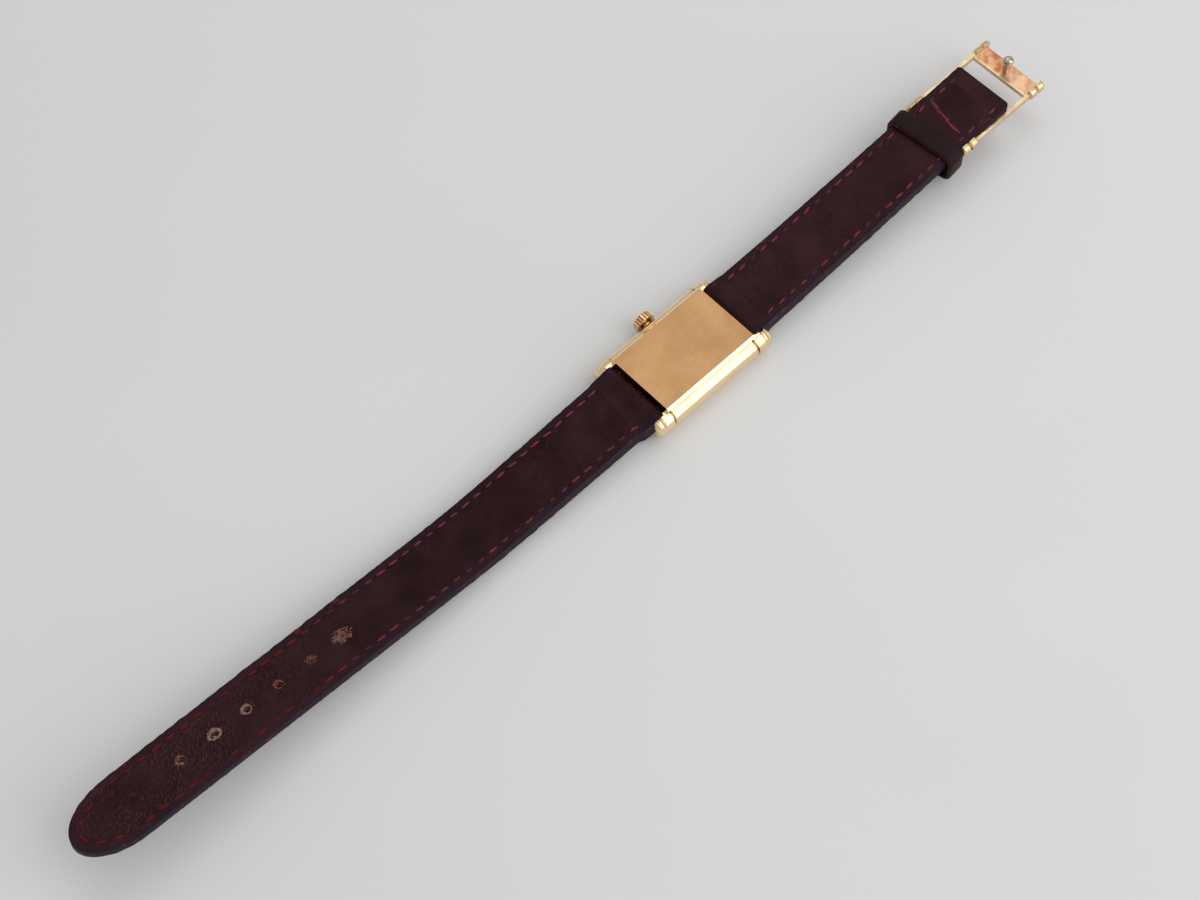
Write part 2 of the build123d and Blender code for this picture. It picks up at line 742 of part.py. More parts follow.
crown_socket_y = crown_inner_y + crown_recess_depth
with BuildPart() as crown:
    with BuildSketch(facing_crown(0, crown_inner_y, stem_level)):
        Circle(crown_radius)
    extrude(amount=crown_thickness)
    fillet(crown.edges().filter_by(GeomType.CIRCLE), radius=crown_face_round)
    with BuildSketch(facing_crown(0, crown_inner_y, stem_level)):
        with PolarLocations(crown_radius + crown_flute_offset, crown_flutes):
            Circle(crown_flute_radius)
    extrude(amount=crown_thickness, mode=Mode.SUBTRACT)
    with BuildSketch(facing_crown(0, crown_inner_y, stem_level)):
        Circle(crown_recess_radius)
    extrude(amount=crown_recess_depth, mode=Mode.SUBTRACT)
    with BuildSketch(facing_crown(0, crown_socket_y, stem_level)):
        Circle(stem_radius)
    extrude(amount=crown_thickness - crown_recess_depth - crown_face_round, mode=Mode.SUBTRACT)
save(crown, "crown")

stem_outer_y = crown_outer_y - crown_face_round
with BuildPart() as stem:
    with BuildSketch(facing_crown(0, stem_inner_y, stem_level)):
        Circle(pilot_radius)
    extrude(amount=stem_shoulder_y - stem_inner_y)
    with BuildSketch(facing_crown(0, stem_shoulder_y, stem_level)):
        Circle(stem_radius)
    extrude(amount=stem_outer_y - stem_shoulder_y)
    # Waist that the setting lever's pin rides in
    with BuildSketch(facing_crown(0, lever_pin_y - stem_waist_width / 2, stem_level)):
        Circle(2 * stem_radius)
        Circle(stem_waist_radius, mode=Mode.SUBTRACT)
    extrude(amount=stem_waist_width, mode=Mode.SUBTRACT)
save(stem, "stem")

# Sliding pinion on the stem's inner end, which the yoke pushes inwards as the crown comes out
with BuildPart() as sliding_pinion:
    with BuildSketch(facing_crown(0, sliding_pinion_y, stem_level)):
        Circle(sliding_pinion_radius)
        with PolarLocations(sliding_pinion_radius, sliding_pinion_teeth):
            Circle(sliding_pinion_radius / sliding_pinion_teeth, mode=Mode.SUBTRACT)
        Circle(pilot_radius + running_clearance, mode=Mode.SUBTRACT)
    extrude(amount=sliding_pinion_length)
save(sliding_pinion, "sliding_pinion")

# Setting lever: turns about a post in the main plate, with a pin in the stem's waist
lever_level = stem_level + stem_radius + trough_clearance
with BuildPart() as setting_lever:
    with BuildSketch(Plane.XY.offset(lever_level)):
        with Locations((lever_length / 2, lever_pin_y)):
            SlotCenterToCenter(lever_length, lever_width)
    extrude(amount=lever_thickness)
    add(disc(stem_level + stem_waist_radius + running_clearance, lever_pin_radius,
             lever_level - stem_level - stem_waist_radius - running_clearance, (0, lever_pin_y)))
    add(disc(plate_level + cell_floor, lever_pivot_radius - pivot_clearance,
             lever_level - plate_level - cell_floor, (lever_length, lever_pin_y)))
save(setting_lever, "setting_lever")

with BuildPart() as crown_seal:
    with BuildSketch(facing_crown(0, crown_inner_y + running_clearance, stem_level)):
        Circle(crown_recess_radius - crown_seal_clearance)
        Circle(case_tube_radius + crown_seal_clearance, mode=Mode.SUBTRACT)
    extrude(amount=crown_seal_width)
save(crown_seal, "crown_seal")


# Spring bars. Each is built at its own axis, with plungers that slide along Y
def bar_tube(x, z, length, radius, bore, lip_bore):
    with BuildPart() as tube:
        with BuildSketch(facing_crown(x, -length / 2, z)):
            Circle(radius)
            Circle(lip_bore, mode=Mode.SUBTRACT)
        extrude(amount=length)
        with BuildSketch(facing_crown(x, -length / 2 + plunger_lip_length, z)):
            Circle(bore)
        extrude(amount=length - 2 * plunger_lip_length, mode=Mode.SUBTRACT)
    return tube


def bar_plunger(x, z, length, tip_radius, bore, reach, side):
    head_end = length / 2 - plunger_lip_length - plunger_stop
    with BuildPart() as plunger:
        with BuildSketch(facing_crown(x, side * head_end, z)):
            Circle(bore - running_clearance)
        extrude(amount=-side * plunger_head_length)
        with BuildSketch(facing_crown(x, side * head_end, z)):
            Circle(tip_radius)
        extrude(amount=side * (plunger_lip_length + plunger_stop + bar_end_gap + reach))
        fillet(plunger.edges().filter_by(GeomType.CIRCLE).sort_by(Axis.Y)[-1 if side > 0 else 0],
               radius=tip_radius / 3)
    return plunger


def bar_spring(x, z, length, bore):
    room = length - 2 * (plunger_lip_length + plunger_stop + plunger_head_length)
    with BuildPart() as spring:
        with BuildSketch(facing_crown(x, -room / 2, z)):
            Circle(bore - running_clearance)
            Circle(bore - running_clearance - bar_spring_wire, mode=Mode.SUBTRACT)
        extrude(amount=room)
    return spring


case_bar_length = lug_opening - 2 * bar_end_gap
for name, end in (("long_strap_bar", -1), ("short_strap_bar", 1)):
    save(bar_tube(end * bar_x, bar_level, case_bar_length, bar_tube_radius, bar_tube_bore,
                  plunger_lip_bore), f"{name}_tube")
    save(bar_spring(end * bar_x, bar_level, case_bar_length, bar_tube_bore), f"{name}_spring")
    for hand, side in (("crown_side", 1), ("far_side", -1)):
        save(bar_plunger(end * bar_x, bar_level, case_bar_length, plunger_tip_radius,
                         bar_tube_bore, plunger_reach, side), f"{name}_plunger_{hand}")


# Strap shape: a straight run from the bar, one gentle bend and a straight run to the end.
# A station is a point of the mid line with the rise of the line there.
def strap_stations(side, length, leans, runs):
    first_run, bend_radius = runs
    start_lean, end_lean = leans
    bend = bend_radius * (end_lean - start_lean)
    stations = [(side * bar_x, bar_level, start_lean)]
    x, z = stations[0][0] + side * first_run * cos(start_lean), bar_level + first_run * sin(start_lean)
    stations.append((x, z, start_lean))
    for lean in ((start_lean + end_lean) / 2, end_lean):
        stations.append((x + side * bend_radius * (sin(lean) - sin(start_lean)),
                         z + bend_radius * (cos(start_lean) - cos(lean)), lean))
    last_run = length - first_run - bend
    x, z, lean = stations[-1]
    stations.append((x + side * last_run * cos(lean), z + last_run * sin(lean), lean))
    return stations


def at_height(side, station, height):
    x, z, lean = station
    return (x - side * height * sin(lean), z + height * cos(lean))


# A layer between two heights, as shares of the strap's half thickness plus a fixed step
def layer_face(side, stations, halves, low, high):
    middle = (halves[1] + halves[2]) / 2
    spread = (halves[0], halves[1], middle, halves[2], halves[3])
    rails = []
    for share, step in (low, high):
        rails.append([at_height(side, station, share * half + step)
                      for station, half in zip(stations, spread)])
    lower, upper = rails
    with BuildSketch(Plane.XZ) as outline:
        with BuildLine():
            Line(lower[0], lower[1])
            ThreePointArc(lower[1], lower[2], lower[3])
            Line(lower[3], lower[4])
            Line(lower[4], upper[4])
            Line(upper[4], upper[3])
            ThreePointArc(upper[3], upper[2], upper[1])
            Line(upper[1], upper[0])
            Line(upper[0], lower[0])
        make_face()
    return outline.sketch


long_stations = strap_stations(-1, long_strap_length, long_strap_leans, long_strap_runs)
short_stations = strap_stations(1, short_strap_length, short_strap_leans, short_strap_runs)
long_tip_x = long_stations[-1][0]
short_end_x = short_stations[-1][0]
strap_ceiling = overrun + bar_level + 2 * nose_radius + long_strap_length * sin(long_strap_leans[1])
half_width = strap_width / 2
long_fold_x = bar_x + long_fold_length
short_fold_x = bar_x + short_fold_length
long_strap_tip_width = strap_width - long_strap_taper
short_strap_end_width = strap_width - short_strap_taper
tunnel_radius = bar_tube_radius + tunnel_clearance


def long_plan(start_x, end_x):
    tip_half = long_strap_tip_width / 2
    shoulder_x = long_tip_x + long_strap_tip_length
    with BuildSketch(Plane.XY.offset(-overrun)) as plan:
        with BuildLine():
            Polyline((shoulder_x, -tip_half), (-long_fold_x, -half_width), (0, -half_width),
                     (0, half_width), (-long_fold_x, half_width), (shoulder_x, tip_half))
            EllipticalCenterArc((shoulder_x, 0), long_strap_tip_length, tip_half,
                                start_angle=90, arc_size=180)
        make_face()
        with Locations(((start_x + end_x) / 2, 0)):
            Rectangle(start_x - end_x, 2 * strap_width, mode=Mode.INTERSECT)
        with Locations(*[(hole_x, 0) for hole_x in hole_places]):
            Circle(hole_radius, mode=Mode.SUBTRACT)
    return extrude(plan.sketch, amount=strap_ceiling, mode=Mode.PRIVATE)


def short_plan(start_x, end_x):
    end_half = short_strap_end_width / 2
    with BuildSketch(Plane.XY.offset(-overrun)) as plan:
        with BuildLine():
            Polyline((0, -half_width), (short_fold_x, -half_width), (short_end_x, -end_half),
                     (short_end_x, end_half), (short_fold_x, half_width), (0, half_width), close=True)
        make_face()
        with Locations(((start_x + end_x) / 2, 0)):
            Rectangle(end_x - start_x, 2 * strap_width, mode=Mode.INTERSECT)
    return extrude(plan.sketch, amount=strap_ceiling, mode=Mode.PRIVATE)


hole_places = [long_tip_x + first_hole_from_tip + index * hole_pitch for index in range(hole_count)]
bottom, top = (-1, 0), (1, 0)
above_outer, below_lining = (-1, leather), (1, -leather)


def nose_ring(side):
    with BuildSketch(facing_crown(side * bar_x, -half_width, bar_level)) as ring:
        Circle(nose_radius)
    return extrude(ring.sketch, amount=strap_width, mode=Mode.PRIVATE)


def tunnel(side):
    with BuildSketch(facing_crown(side * bar_x, -strap_width, bar_level)) as hole:
        Circle(tunnel_radius)
    return extrude(hole.sketch, amount=2 * strap_width, mode=Mode.PRIVATE)


# Long strap: the outer leather folds round the bar and back as far as the crease
with BuildPart() as long_strap_outer:
    extrude(layer_face(-1, long_stations, long_strap_halves, bottom, above_outer),
            amount=strap_width, both=True)
    add(long_plan(-bar_x, long_tip_x), mode=Mode.INTERSECT)
    with BuildPart(mode=Mode.PRIVATE) as fold:
        extrude(layer_face(-1, long_stations, long_strap_halves, below_lining, top),
                amount=strap_width, both=True)
        add(long_plan(-bar_x, -long_fold_x), mode=Mode.INTERSECT)
    add(fold.part)
    add(nose_ring(-1))
    add(tunnel(-1), mode=Mode.SUBTRACT)
save(long_strap_outer, "long_strap_outer")

with BuildPart() as long_strap_lining:
    extrude(layer_face(-1, long_stations, long_strap_halves, below_lining, top),
            amount=strap_width, both=True)
    add(long_plan(-long_fold_x, long_tip_x), mode=Mode.INTERSECT)
save(long_strap_lining, "long_strap_lining")

with BuildPart() as long_strap_filler:
    extrude(layer_face(-1, long_stations, long_strap_halves, above_outer, below_lining),
            amount=strap_width, both=True)
    add(long_plan(-bar_x, long_tip_x), mode=Mode.INTERSECT)
    add(nose_ring(-1), mode=Mode.SUBTRACT)
save(long_strap_filler, "long_strap_filler")


# Short strap: the same fold at the case, and a tunnel for the buckle's bar near its end
def along(stations, side, distance, runs):
    first_run, bend_radius = runs
    bend = bend_radius * (stations[3][2] - stations[0][2])
    rest = distance - first_run - bend
    x, z, lean = stations[3]
    return (x + side * rest * cos(lean), z + rest * sin(lean), lean)


buckle_bar_from_case_bar = short_strap_length - buckle_bar_from_end
buckle_station = along(short_stations, 1, buckle_bar_from_case_bar, short_strap_runs)
buckle_x, buckle_z = buckle_station[:2]
buckle_tunnel_radius = buckle_bar_tube_radius + tunnel_clearance


def buckle_tunnel(radius):
    with BuildSketch(facing_crown(buckle_x, -strap_width, buckle_z)) as hole:
        Circle(radius)
    return extrude(hole.sketch, amount=2 * strap_width, mode=Mode.PRIVATE)


with BuildPart() as short_strap_outer:
    extrude(layer_face(1, short_stations, short_strap_halves, bottom, above_outer),
            amount=strap_width, both=True)
    add(short_plan(bar_x, short_end_x), mode=Mode.INTERSECT)
    with BuildPart(mode=Mode.PRIVATE) as short_fold:
        extrude(layer_face(1, short_stations, short_strap_halves, below_lining, top),
                amount=strap_width, both=True)
        add(short_plan(bar_x, short_fold_x), mode=Mode.INTERSECT)
    add(short_fold.part)
    add(nose_ring(1))
    add(tunnel(1), mode=Mode.SUBTRACT)
    add(buckle_tunnel(buckle_tunnel_radius), mode=Mode.SUBTRACT)
save(short_strap_outer, "short_strap_outer")

with BuildPart() as short_strap_lining:
    extrude(layer_face(1, short_stations, short_strap_halves, below_lining, top),
            amount=strap_width, both=True)
    add(short_plan(short_fold_x, short_end_x), mode=Mode.INTERSECT)
    add(buckle_tunnel(buckle_tunnel_radius), mode=Mode.SUBTRACT)
save(short_strap_lining, "short_strap_lining")

with BuildPart() as short_strap_filler:
    extrude(layer_face(1, short_stations, short_strap_halves, above_outer, below_lining),
            amount=strap_width, both=True)
    add(short_plan(bar_x, short_end_x), mode=Mode.INTERSECT)
    add(nose_ring(1), mode=Mode.SUBTRACT)
    add(buckle_tunnel(buckle_tunnel_radius), mode=Mode.SUBTRACT)
save(short_strap_filler, "short_strap_filler")

# Sliding loop: a leather band right round the short strap, square to it
loop_centre_from_case_bar = buckle_bar_from_case_bar - loop_from_buckle_bar
loop_x, loop_z, loop_lean = along(short_stations, 1, loop_centre_from_case_bar, short_strap_runs)
loop_plane = Plane(origin=(loop_x, 0, loop_z), x_dir=(0, 1, 0), z_dir=(cos(loop_lean), 0, sin(loop_lean)))
loop_inside_width = strap_width + 2 * loop_clearance
loop_inside_height = 2 * (short_strap_halves[2] + loop_clearance) + loop_tail_room
# It hangs lower on the dial side, where the long strap's tail is tucked in
with BuildPart() as strap_loop:
    with BuildSketch(loop_plane):
        with Locations((0, -loop_tail_room / 2)):
            RectangleRounded(loop_inside_width + 2 * loop_thickness,
                             loop_inside_height + 2 * loop_thickness, loop_round + loop_thickness / 2)
            RectangleRounded(loop_inside_width, loop_inside_height, loop_round, mode=Mode.SUBTRACT)
    extrude(amount=loop_band_width / 2, both=True)
save(strap_loop, "strap_loop")

# Buckle: two thin arms from ribbed ends at the hinge to ribbed ends at a broad plate
buckle_inside_width = short_strap_end_width + 2 * buckle_side_clearance
arm_y = buckle_inside_width / 2 + buckle_arm_thickness / 2
plate_end_x = buckle_x + buckle_length + buckle_plate_width / 2
rib_starts = (buckle_x - buckle_rib_width, buckle_x,
              plate_end_x - 2 * buckle_rib_width + buckle_rib_overrun,
              plate_end_x - buckle_rib_width + buckle_rib_overrun)
with BuildPart() as buckle_frame:
    with BuildSketch(Plane.XY.offset(buckle_z - buckle_arm_height / 2)):
        for side in (-1, 1):
            with Locations((buckle_x + buckle_length / 2, side * arm_y)):
                Rectangle(buckle_length, buckle_arm_thickness)
    extrude(amount=buckle_arm_height)
    for side in (-1, 1):
        for start in rib_starts:
            with BuildPart(mode=Mode.PRIVATE) as buckle_rib:
                with BuildSketch(facing_buckle(start, side * buckle_inside_width / 2, buckle_z)):
                    Circle(buckle_rib_radius)
                extrude(amount=buckle_rib_width)
                fillet(buckle_rib.edges().filter_by(GeomType.CIRCLE), radius=buckle_rib_round)
                with BuildSketch(facing_crown(start, -side * buckle_inside_width / 2, buckle_z)):
                    Rectangle(3 * buckle_rib_width, 4 * buckle_rib_radius)
                extrude(amount=side * buckle_inside_width, mode=Mode.SUBTRACT)
            add(buckle_rib.part)
    with BuildPart(mode=Mode.PRIVATE) as buckle_plate:
        with BuildSketch(Plane.XY.offset(buckle_z - buckle_plate_thickness / 2)):
            with Locations((buckle_x + buckle_length, 0)):
                Rectangle(buckle_plate_width, buckle_inside_width + buckle_arm_thickness)
        extrude(amount=buckle_plate_thickness)
        fillet(buckle_plate.edges().filter_by(Axis.Y), radius=buckle_plate_round)
    add(buckle_plate.part)
    # The plate widens into the arms through a rounded inner corner
    plate_inner_x = buckle_x + buckle_length - buckle_plate_width / 2 + buckle_plate_round
    with BuildSketch(Plane.XY.offset(buckle_z - buckle_plate_thickness / 2 + buckle_plate_round)):
        for side in (-1, 1):
            with Locations((plate_inner_x, side * buckle_inside_width / 2)):
                Rectangle(2 * buckle_corner_round, 2 * buckle_corner_round)
            with Locations((plate_inner_x - buckle_corner_round,
                            side * (buckle_inside_width / 2 - buckle_corner_round))):
                Circle(buckle_corner_round, mode=Mode.SUBTRACT)
    extrude(amount=buckle_plate_thickness - 2 * buckle_plate_round)
    with BuildSketch(facing_crown(buckle_x, -buckle_inside_width, buckle_z)):
        Circle(buckle_plunger_tip_radius + socket_clearance)
    extrude(amount=2 * buckle_inside_width, mode=Mode.SUBTRACT)
    with BuildSketch(Plane.XY.offset(buckle_z - buckle_arm_height)):
        with Locations((buckle_x + buckle_length, 0)):
            Circle(stud_shank_radius)
    extrude(amount=2 * buckle_arm_height, mode=Mode.SUBTRACT)
save(buckle_frame, "buckle_frame")

# Stud: a round-headed post riveted through the plate, standing on the wrist side
stud_base = buckle_z + buckle_plate_thickness / 2
stud_place = (buckle_x + buckle_length, 0)
with BuildPart() as buckle_stud:
    add(disc(stud_base - buckle_plate_thickness, stud_shank_radius, buckle_plate_thickness, stud_place))
    add(disc(stud_base, stud_neck_radius, stud_neck_height, stud_place))
    add(disc(stud_base + stud_neck_height, stud_head_radius, stud_head_height, stud_place))
    head_edges = buckle_stud.edges().filter_by(GeomType.CIRCLE).group_by(SortBy.RADIUS)[-1]
    fillet(head_edges.sort_by(Axis.Z)[-1], radius=stud_head_radius * stud_crown_share)
    head_edges = buckle_stud.edges().filter_by(GeomType.CIRCLE).group_by(SortBy.RADIUS)[-1]
    fillet(head_edges.sort_by(Axis.Z)[0], radius=(stud_head_radius - stud_neck_radius) * stud_crown_share)
save(buckle_stud, "buckle_stud")

buckle_bar_length = buckle_inside_width - 2 * bar_end_gap
buckle_lip_bore = buckle_plunger_tip_radius + running_clearance
save(bar_tube(buckle_x, buckle_z, buckle_bar_length, buckle_bar_tube_radius, buckle_bar_tube_bore,
              buckle_lip_bore), "buckle_bar_tube")
save(bar_spring(buckle_x, buckle_z, buckle_bar_length, buckle_bar_tube_bore), "buckle_bar_spring")
for hand, side in (("crown_side", 1), ("far_side", -1)):
    save(bar_plunger(buckle_x, buckle_z, buckle_bar_length, buckle_plunger_tip_radius,
                     buckle_bar_tube_bore, buckle_plunger_reach, side), f"buckle_bar_plunger_{hand}")
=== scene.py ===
import json
import random
from math import atan2, copysign, cos, exp, hypot, pi, radians, sin, sqrt

import bmesh
import bpy
from mathutils import Matrix, Vector, noise


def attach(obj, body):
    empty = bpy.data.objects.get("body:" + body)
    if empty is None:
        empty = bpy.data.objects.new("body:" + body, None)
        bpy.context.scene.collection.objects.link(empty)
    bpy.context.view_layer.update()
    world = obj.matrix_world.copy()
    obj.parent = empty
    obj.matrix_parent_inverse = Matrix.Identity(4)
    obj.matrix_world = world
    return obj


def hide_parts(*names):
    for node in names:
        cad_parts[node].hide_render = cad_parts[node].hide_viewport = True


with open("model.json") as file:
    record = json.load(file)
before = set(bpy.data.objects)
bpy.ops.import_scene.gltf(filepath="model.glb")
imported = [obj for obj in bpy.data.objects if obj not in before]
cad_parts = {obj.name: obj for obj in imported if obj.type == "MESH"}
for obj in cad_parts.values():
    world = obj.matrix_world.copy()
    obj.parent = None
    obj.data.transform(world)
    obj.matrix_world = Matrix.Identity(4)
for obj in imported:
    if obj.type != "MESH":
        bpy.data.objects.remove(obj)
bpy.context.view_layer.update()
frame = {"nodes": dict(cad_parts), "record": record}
nodes = frame["nodes"]
scene = bpy.context.scene
scene.view_settings.view_transform = "Standard"
mm = 0.001
drawSeed = 7
chance = random.Random(drawSeed)
print("frame loaded,", len(nodes), "nodes")

# Camera: the watch lies on its crystal and is seen from the six o'clock end, on the side away from the crown
view = {
    "azimuth": -43.89, "elevation": 62.394, "distance": 341.87, "target": (-21.492, -2.12, 0.0),
    "lens": 61.5, "sensorWidth": 36, "nearest": 0.01,
}


def setCamera(settings):
    azimuth, elevation = radians(settings["azimuth"]), radians(settings["elevation"])
    back = Vector((sin(azimuth) * cos(elevation), -cos(azimuth) * cos(elevation), sin(elevation)))
    right = Vector((cos(azimuth), sin(azimuth), 0))
    turn = Matrix((right, back.cross(right), back)).transposed().to_4x4()
    camera = bpy.data.objects.new("camera", bpy.data.cameras.new("camera"))
    camera.data.lens = settings["lens"]
    camera.data.sensor_width = settings["sensorWidth"]
    camera.data.clip_start = settings["nearest"]
    spot = (Vector(settings["target"]) + back * settings["distance"]) * mm
    camera.matrix_world = Matrix.Translation(spot) @ turn
    scene.collection.objects.link(camera)
    scene.camera = camera


setCamera(view)


# Short ways to lay nodes. A noise is given as scale, detail and roughness, and a span as from and to.
def feed(tree, node, inputs):
    for key, value in inputs.items():
        if isinstance(value, bpy.types.NodeSocket):
            tree.links.new(value, node.inputs[key])
        else:
            node.inputs[key].default_value = value


def addNode(tree, kind, inputs=None, **settings):
    node = tree.nodes.new("ShaderNode" + kind)
    for name, value in settings.items():
        setattr(node, name, value)
    feed(tree, node, inputs or {})
    return node


def combine(tree, operation, first, second=0.5, third=0.5, clamp=False):
    node = addNode(tree, "Math", {0: first, 1: second, 2: third}, operation=operation, use_clamp=clamp)
    return node.outputs[0]


def plus(tree, first, second):
    return combine(tree, "ADD", first, second)


def minus(tree, first, second):
    return combine(tree, "SUBTRACT", first, second)


def times(tree, first, second):
    return combine(tree, "MULTIPLY", first, second)


def spread(tree, value, span, newSpan=(0.0, 1.0)):
    sockets = {"Value": value, "From Min": span[0], "From Max": span[1],
               "To Min": newSpan[0], "To Max": newSpan[1]}
    return addNode(tree, "MapRange", sockets, clamp=True).outputs["Result"]


# A colour is written as a screen shows it, 0 to 255, and made linear here
def paint(red, green, blue):
    parts = [value / 255 for value in (red, green, blue)]
    linear = [part / 12.92 if part <= 0.04045 else ((part + 0.055) / 1.055) ** 2.4 for part in parts]
    return (*linear, 1.0)


# Inputs 6 and 7 of a Mix node are its colours, and output 2 is the blend
def blendColours(tree, factor, first, second):
    first, second = (paint(*side) if isinstance(side, tuple) else side for side in (first, second))
    return addNode(tree, "Mix", {0: factor, 6: first, 7: second}, data_type="RGBA").outputs[2]


def objectPlace(tree):
    return addNode(tree, "TexCoord").outputs["Object"]


def axisOf(tree, vector, axis):
    return addNode(tree, "SeparateXYZ", {0: vector}).outputs[axis]


def attributeOf(tree, name):
    return addNode(tree, "Attribute", attribute_name=name).outputs["Fac"]


def newGroup(name, inputs):
    group = bpy.data.node_groups.new(name, "ShaderNodeTree")
    for socketName, value in inputs.items():
        socket = group.interface.new_socket(socketName, in_out="INPUT", socket_type="NodeSocketFloat")
        socket.default_value = value
    return group, group.nodes.new("NodeGroupInput").outputs


def giveOut(group, results):
    for socketName in results:
        group.interface.new_socket(socketName, in_out="OUTPUT", socket_type="NodeSocketFloat")
    feed(group, group.nodes.new("NodeGroupOutput"), results)
    return group


def noiseAt(tree, place, scale, detail, roughness, warp=0.0):
    sockets = {"Vector": place, "Scale": scale, "Detail": detail, "Roughness": roughness, "Distortion": warp}
    return addNode(tree, "TexNoise", sockets).outputs["Fac"]


# Object coordinates turned about Z and drawn out along the turned axes
def stretchedPlace(tree, lengths, turn):
    sockets = {"Vector": objectPlace(tree), "Rotation": (0.0, 0.0, radians(turn)), "Scale": lengths}
    return addNode(tree, "Mapping", sockets, vector_type="TEXTURE").outputs["Vector"]


# Leather: pebbles pressed into wrinkles that run across the strap and deepen towards the long tip, and pores
leatherGrain = {
    "stretch": (1.0, 3.0, 1.2), "turn": -22.0, "bendNoise": (260.0, 3.0, 0.6), "bend": 0.0045,
    "edgeSpan": (0.0, 0.22), "poreNoise": (5200.0, 3.0, 0.65), "poreShare": 0.35, "tipSpan": (-0.066, -0.112),
    "tipStrength": (0.3, 1.0), "tipDrift": 0.1, "wrinkleNoise": (85.0, 3.0, 0.5), "wrinkleSpan": (0.48, 0.66),
    "ridgeWearAndHighlightPower": 3.0, "patchDetail": 4.0, "patchRoughness": 0.62, "patchSpan": (0.3, 0.72), "tipMiddle": 0.5,
    "tipPaleShare": 0.5, "shortSpan": (0.015, 0.035), "shortPale": (0.0, 0.38),
    "nickNoise": (420.0, 3.0, 0.6), "nickSpan": (0.63, 0.69),
}


def makeLeatherGroup(look):
    group, given = newGroup("leather grain", {"Pebble Scale": 2300.0, "Wrinkle": 1.0, "Patch Scale": 90.0})
    flat = objectPlace(group)
    place = stretchedPlace(group, look["stretch"], look["turn"])
    bend = times(group, noiseAt(group, place, *look["bendNoise"]), look["bend"])
    pushed = addNode(group, "VectorMath", {0: place, 1: bend}, operation="ADD").outputs[0]
    pebbles = addNode(group, "TexVoronoi", {"Vector": pushed, "Scale": given["Pebble Scale"]},
                      feature="DISTANCE_TO_EDGE")
    edges = spread(group, pebbles.outputs["Distance"], look["edgeSpan"])
    pores = times(group, noiseAt(group, place, *look["poreNoise"]), look["poreShare"])
    along = axisOf(group, flat, "X")
    tipward = spread(group, along, look["tipSpan"], look["tipStrength"])
    folds = plus(group, noiseAt(group, flat, *look["wrinkleNoise"]), times(group, tipward, look["tipDrift"]))
    where = spread(group, folds, look["wrinkleSpan"])
    deep = times(group, times(group, where, tipward), given["Wrinkle"])
    patches = noiseAt(group, flat, given["Patch Scale"], look["patchDetail"], look["patchRoughness"])
    tipPale = times(group, minus(group, tipward, look["tipMiddle"]), look["tipPaleShare"])
    paler = plus(group, tipPale, spread(group, along, look["shortSpan"], look["shortPale"]))
    # The crease output masks painted shade in the creases; the ridge output masks paler ridges, partly wear
    # and partly a painted highlight.
    return giveOut(group, {
        "Height": plus(group, times(group, minus(group, edges, 1.0), deep), pores),
        "CreaseShade": times(group, minus(group, 1.0, edges), deep),
        "RidgeWearAndHighlight": times(group, combine(group, "POWER", edges, look["ridgeWearAndHighlightPower"]), deep),
        "Patches": combine(group, "ADD", spread(group, patches, look["patchSpan"]), paler, clamp=True),
        "Nicks": spread(group, noiseAt(group, flat, *look["nickNoise"]), look["nickSpan"]),
    })


# Metal: fine lines one way, cloudy smears, and the odd scratch across the lines
metalWear = {
    "lineStretch": (28.0, 1.0, 1.0), "lineTurn": 12.0, "lineDetail": 3.0, "lineRoughness": 0.7,
    "lineSpan": (0.35, 0.65), "smearDetail": 4.0, "smearRoughness": 0.6, "smearWarp": 0.4,
    "smearSpan": (0.3, 0.7), "scratchStretch": (9.0, 1.0, 1.0), "scratchTurn": -35.0,
    "scratchNoise": (2600.0, 1.0, 0.4), "scratchSpan": (0.68, 0.75),
}


def makeMetalGroup(look):
    group, given = newGroup("worn metal", {"Line Scale": 4000.0, "Smear Scale": 160.0})
    lined = stretchedPlace(group, look["lineStretch"], look["lineTurn"])
    crossed = stretchedPlace(group, look["scratchStretch"], look["scratchTurn"])
    lines = noiseAt(group, lined, given["Line Scale"], look["lineDetail"], look["lineRoughness"])
    smears = noiseAt(group, objectPlace(group), given["Smear Scale"], look["smearDetail"],
                     look["smearRoughness"], look["smearWarp"])
    scratches = noiseAt(group, crossed, *look["scratchNoise"])
    return giveOut(group, {
        "Lines": lines,
        "Smears": spread(group, smears, look["smearSpan"]),
        "Scratches": spread(group, scratches, look["scratchSpan"]),
    })


# Plain surfaces: patches of two colours and two degrees of polish, and a finer unevenness
plainSurface = {
    "detail": 4.0, "roughness": 0.6, "colourSpan": (0.35, 0.65), "polishSpan": (0.3, 0.7), "finer": 6.0,
    "fineDetail": 3.0, "fineRoughness": 0.6, "bumpDepth": 0.00002,
}


def makePlainGroup(look):
    group, given = newGroup("plain surface", {"Patch Scale": 600.0})
    flat = objectPlace(group)
    patches = noiseAt(group, flat, given["Patch Scale"], look["detail"], look["roughness"])
    fineScale = times(group, given["Patch Scale"], look["finer"])
    return giveOut(group, {
        "Tints": spread(group, patches, look["colourSpan"]),
        "Polish": spread(group, patches, look["polishSpan"]),
        "Unevenness": noiseAt(group, flat, fineScale, look["fineDetail"], look["fineRoughness"]),
    })


leatherGroup = makeLeatherGroup(leatherGrain)
metalGroup = makeMetalGroup(metalWear)
plainGroup = makePlainGroup(plainSurface)


def newMaterial(name):
    material = bpy.data.materials.new(name)
    material.use_nodes = True
    tree = material.node_tree
    tree.nodes.clear()
    shader = addNode(tree, "BsdfPrincipled")
    addNode(tree, "OutputMaterial", {0: shader.outputs[0]})
    return material, tree, shader


def useGroup(tree, group, values):
    return addNode(tree, "Group", values, node_tree=group).outputs


def bump(tree, shader, height, strength, distance):
    node = addNode(tree, "Bump", {"Height": height, "Strength": strength, "Distance": distance})
    tree.links.new(node.outputs[0], shader.inputs["Normal"])


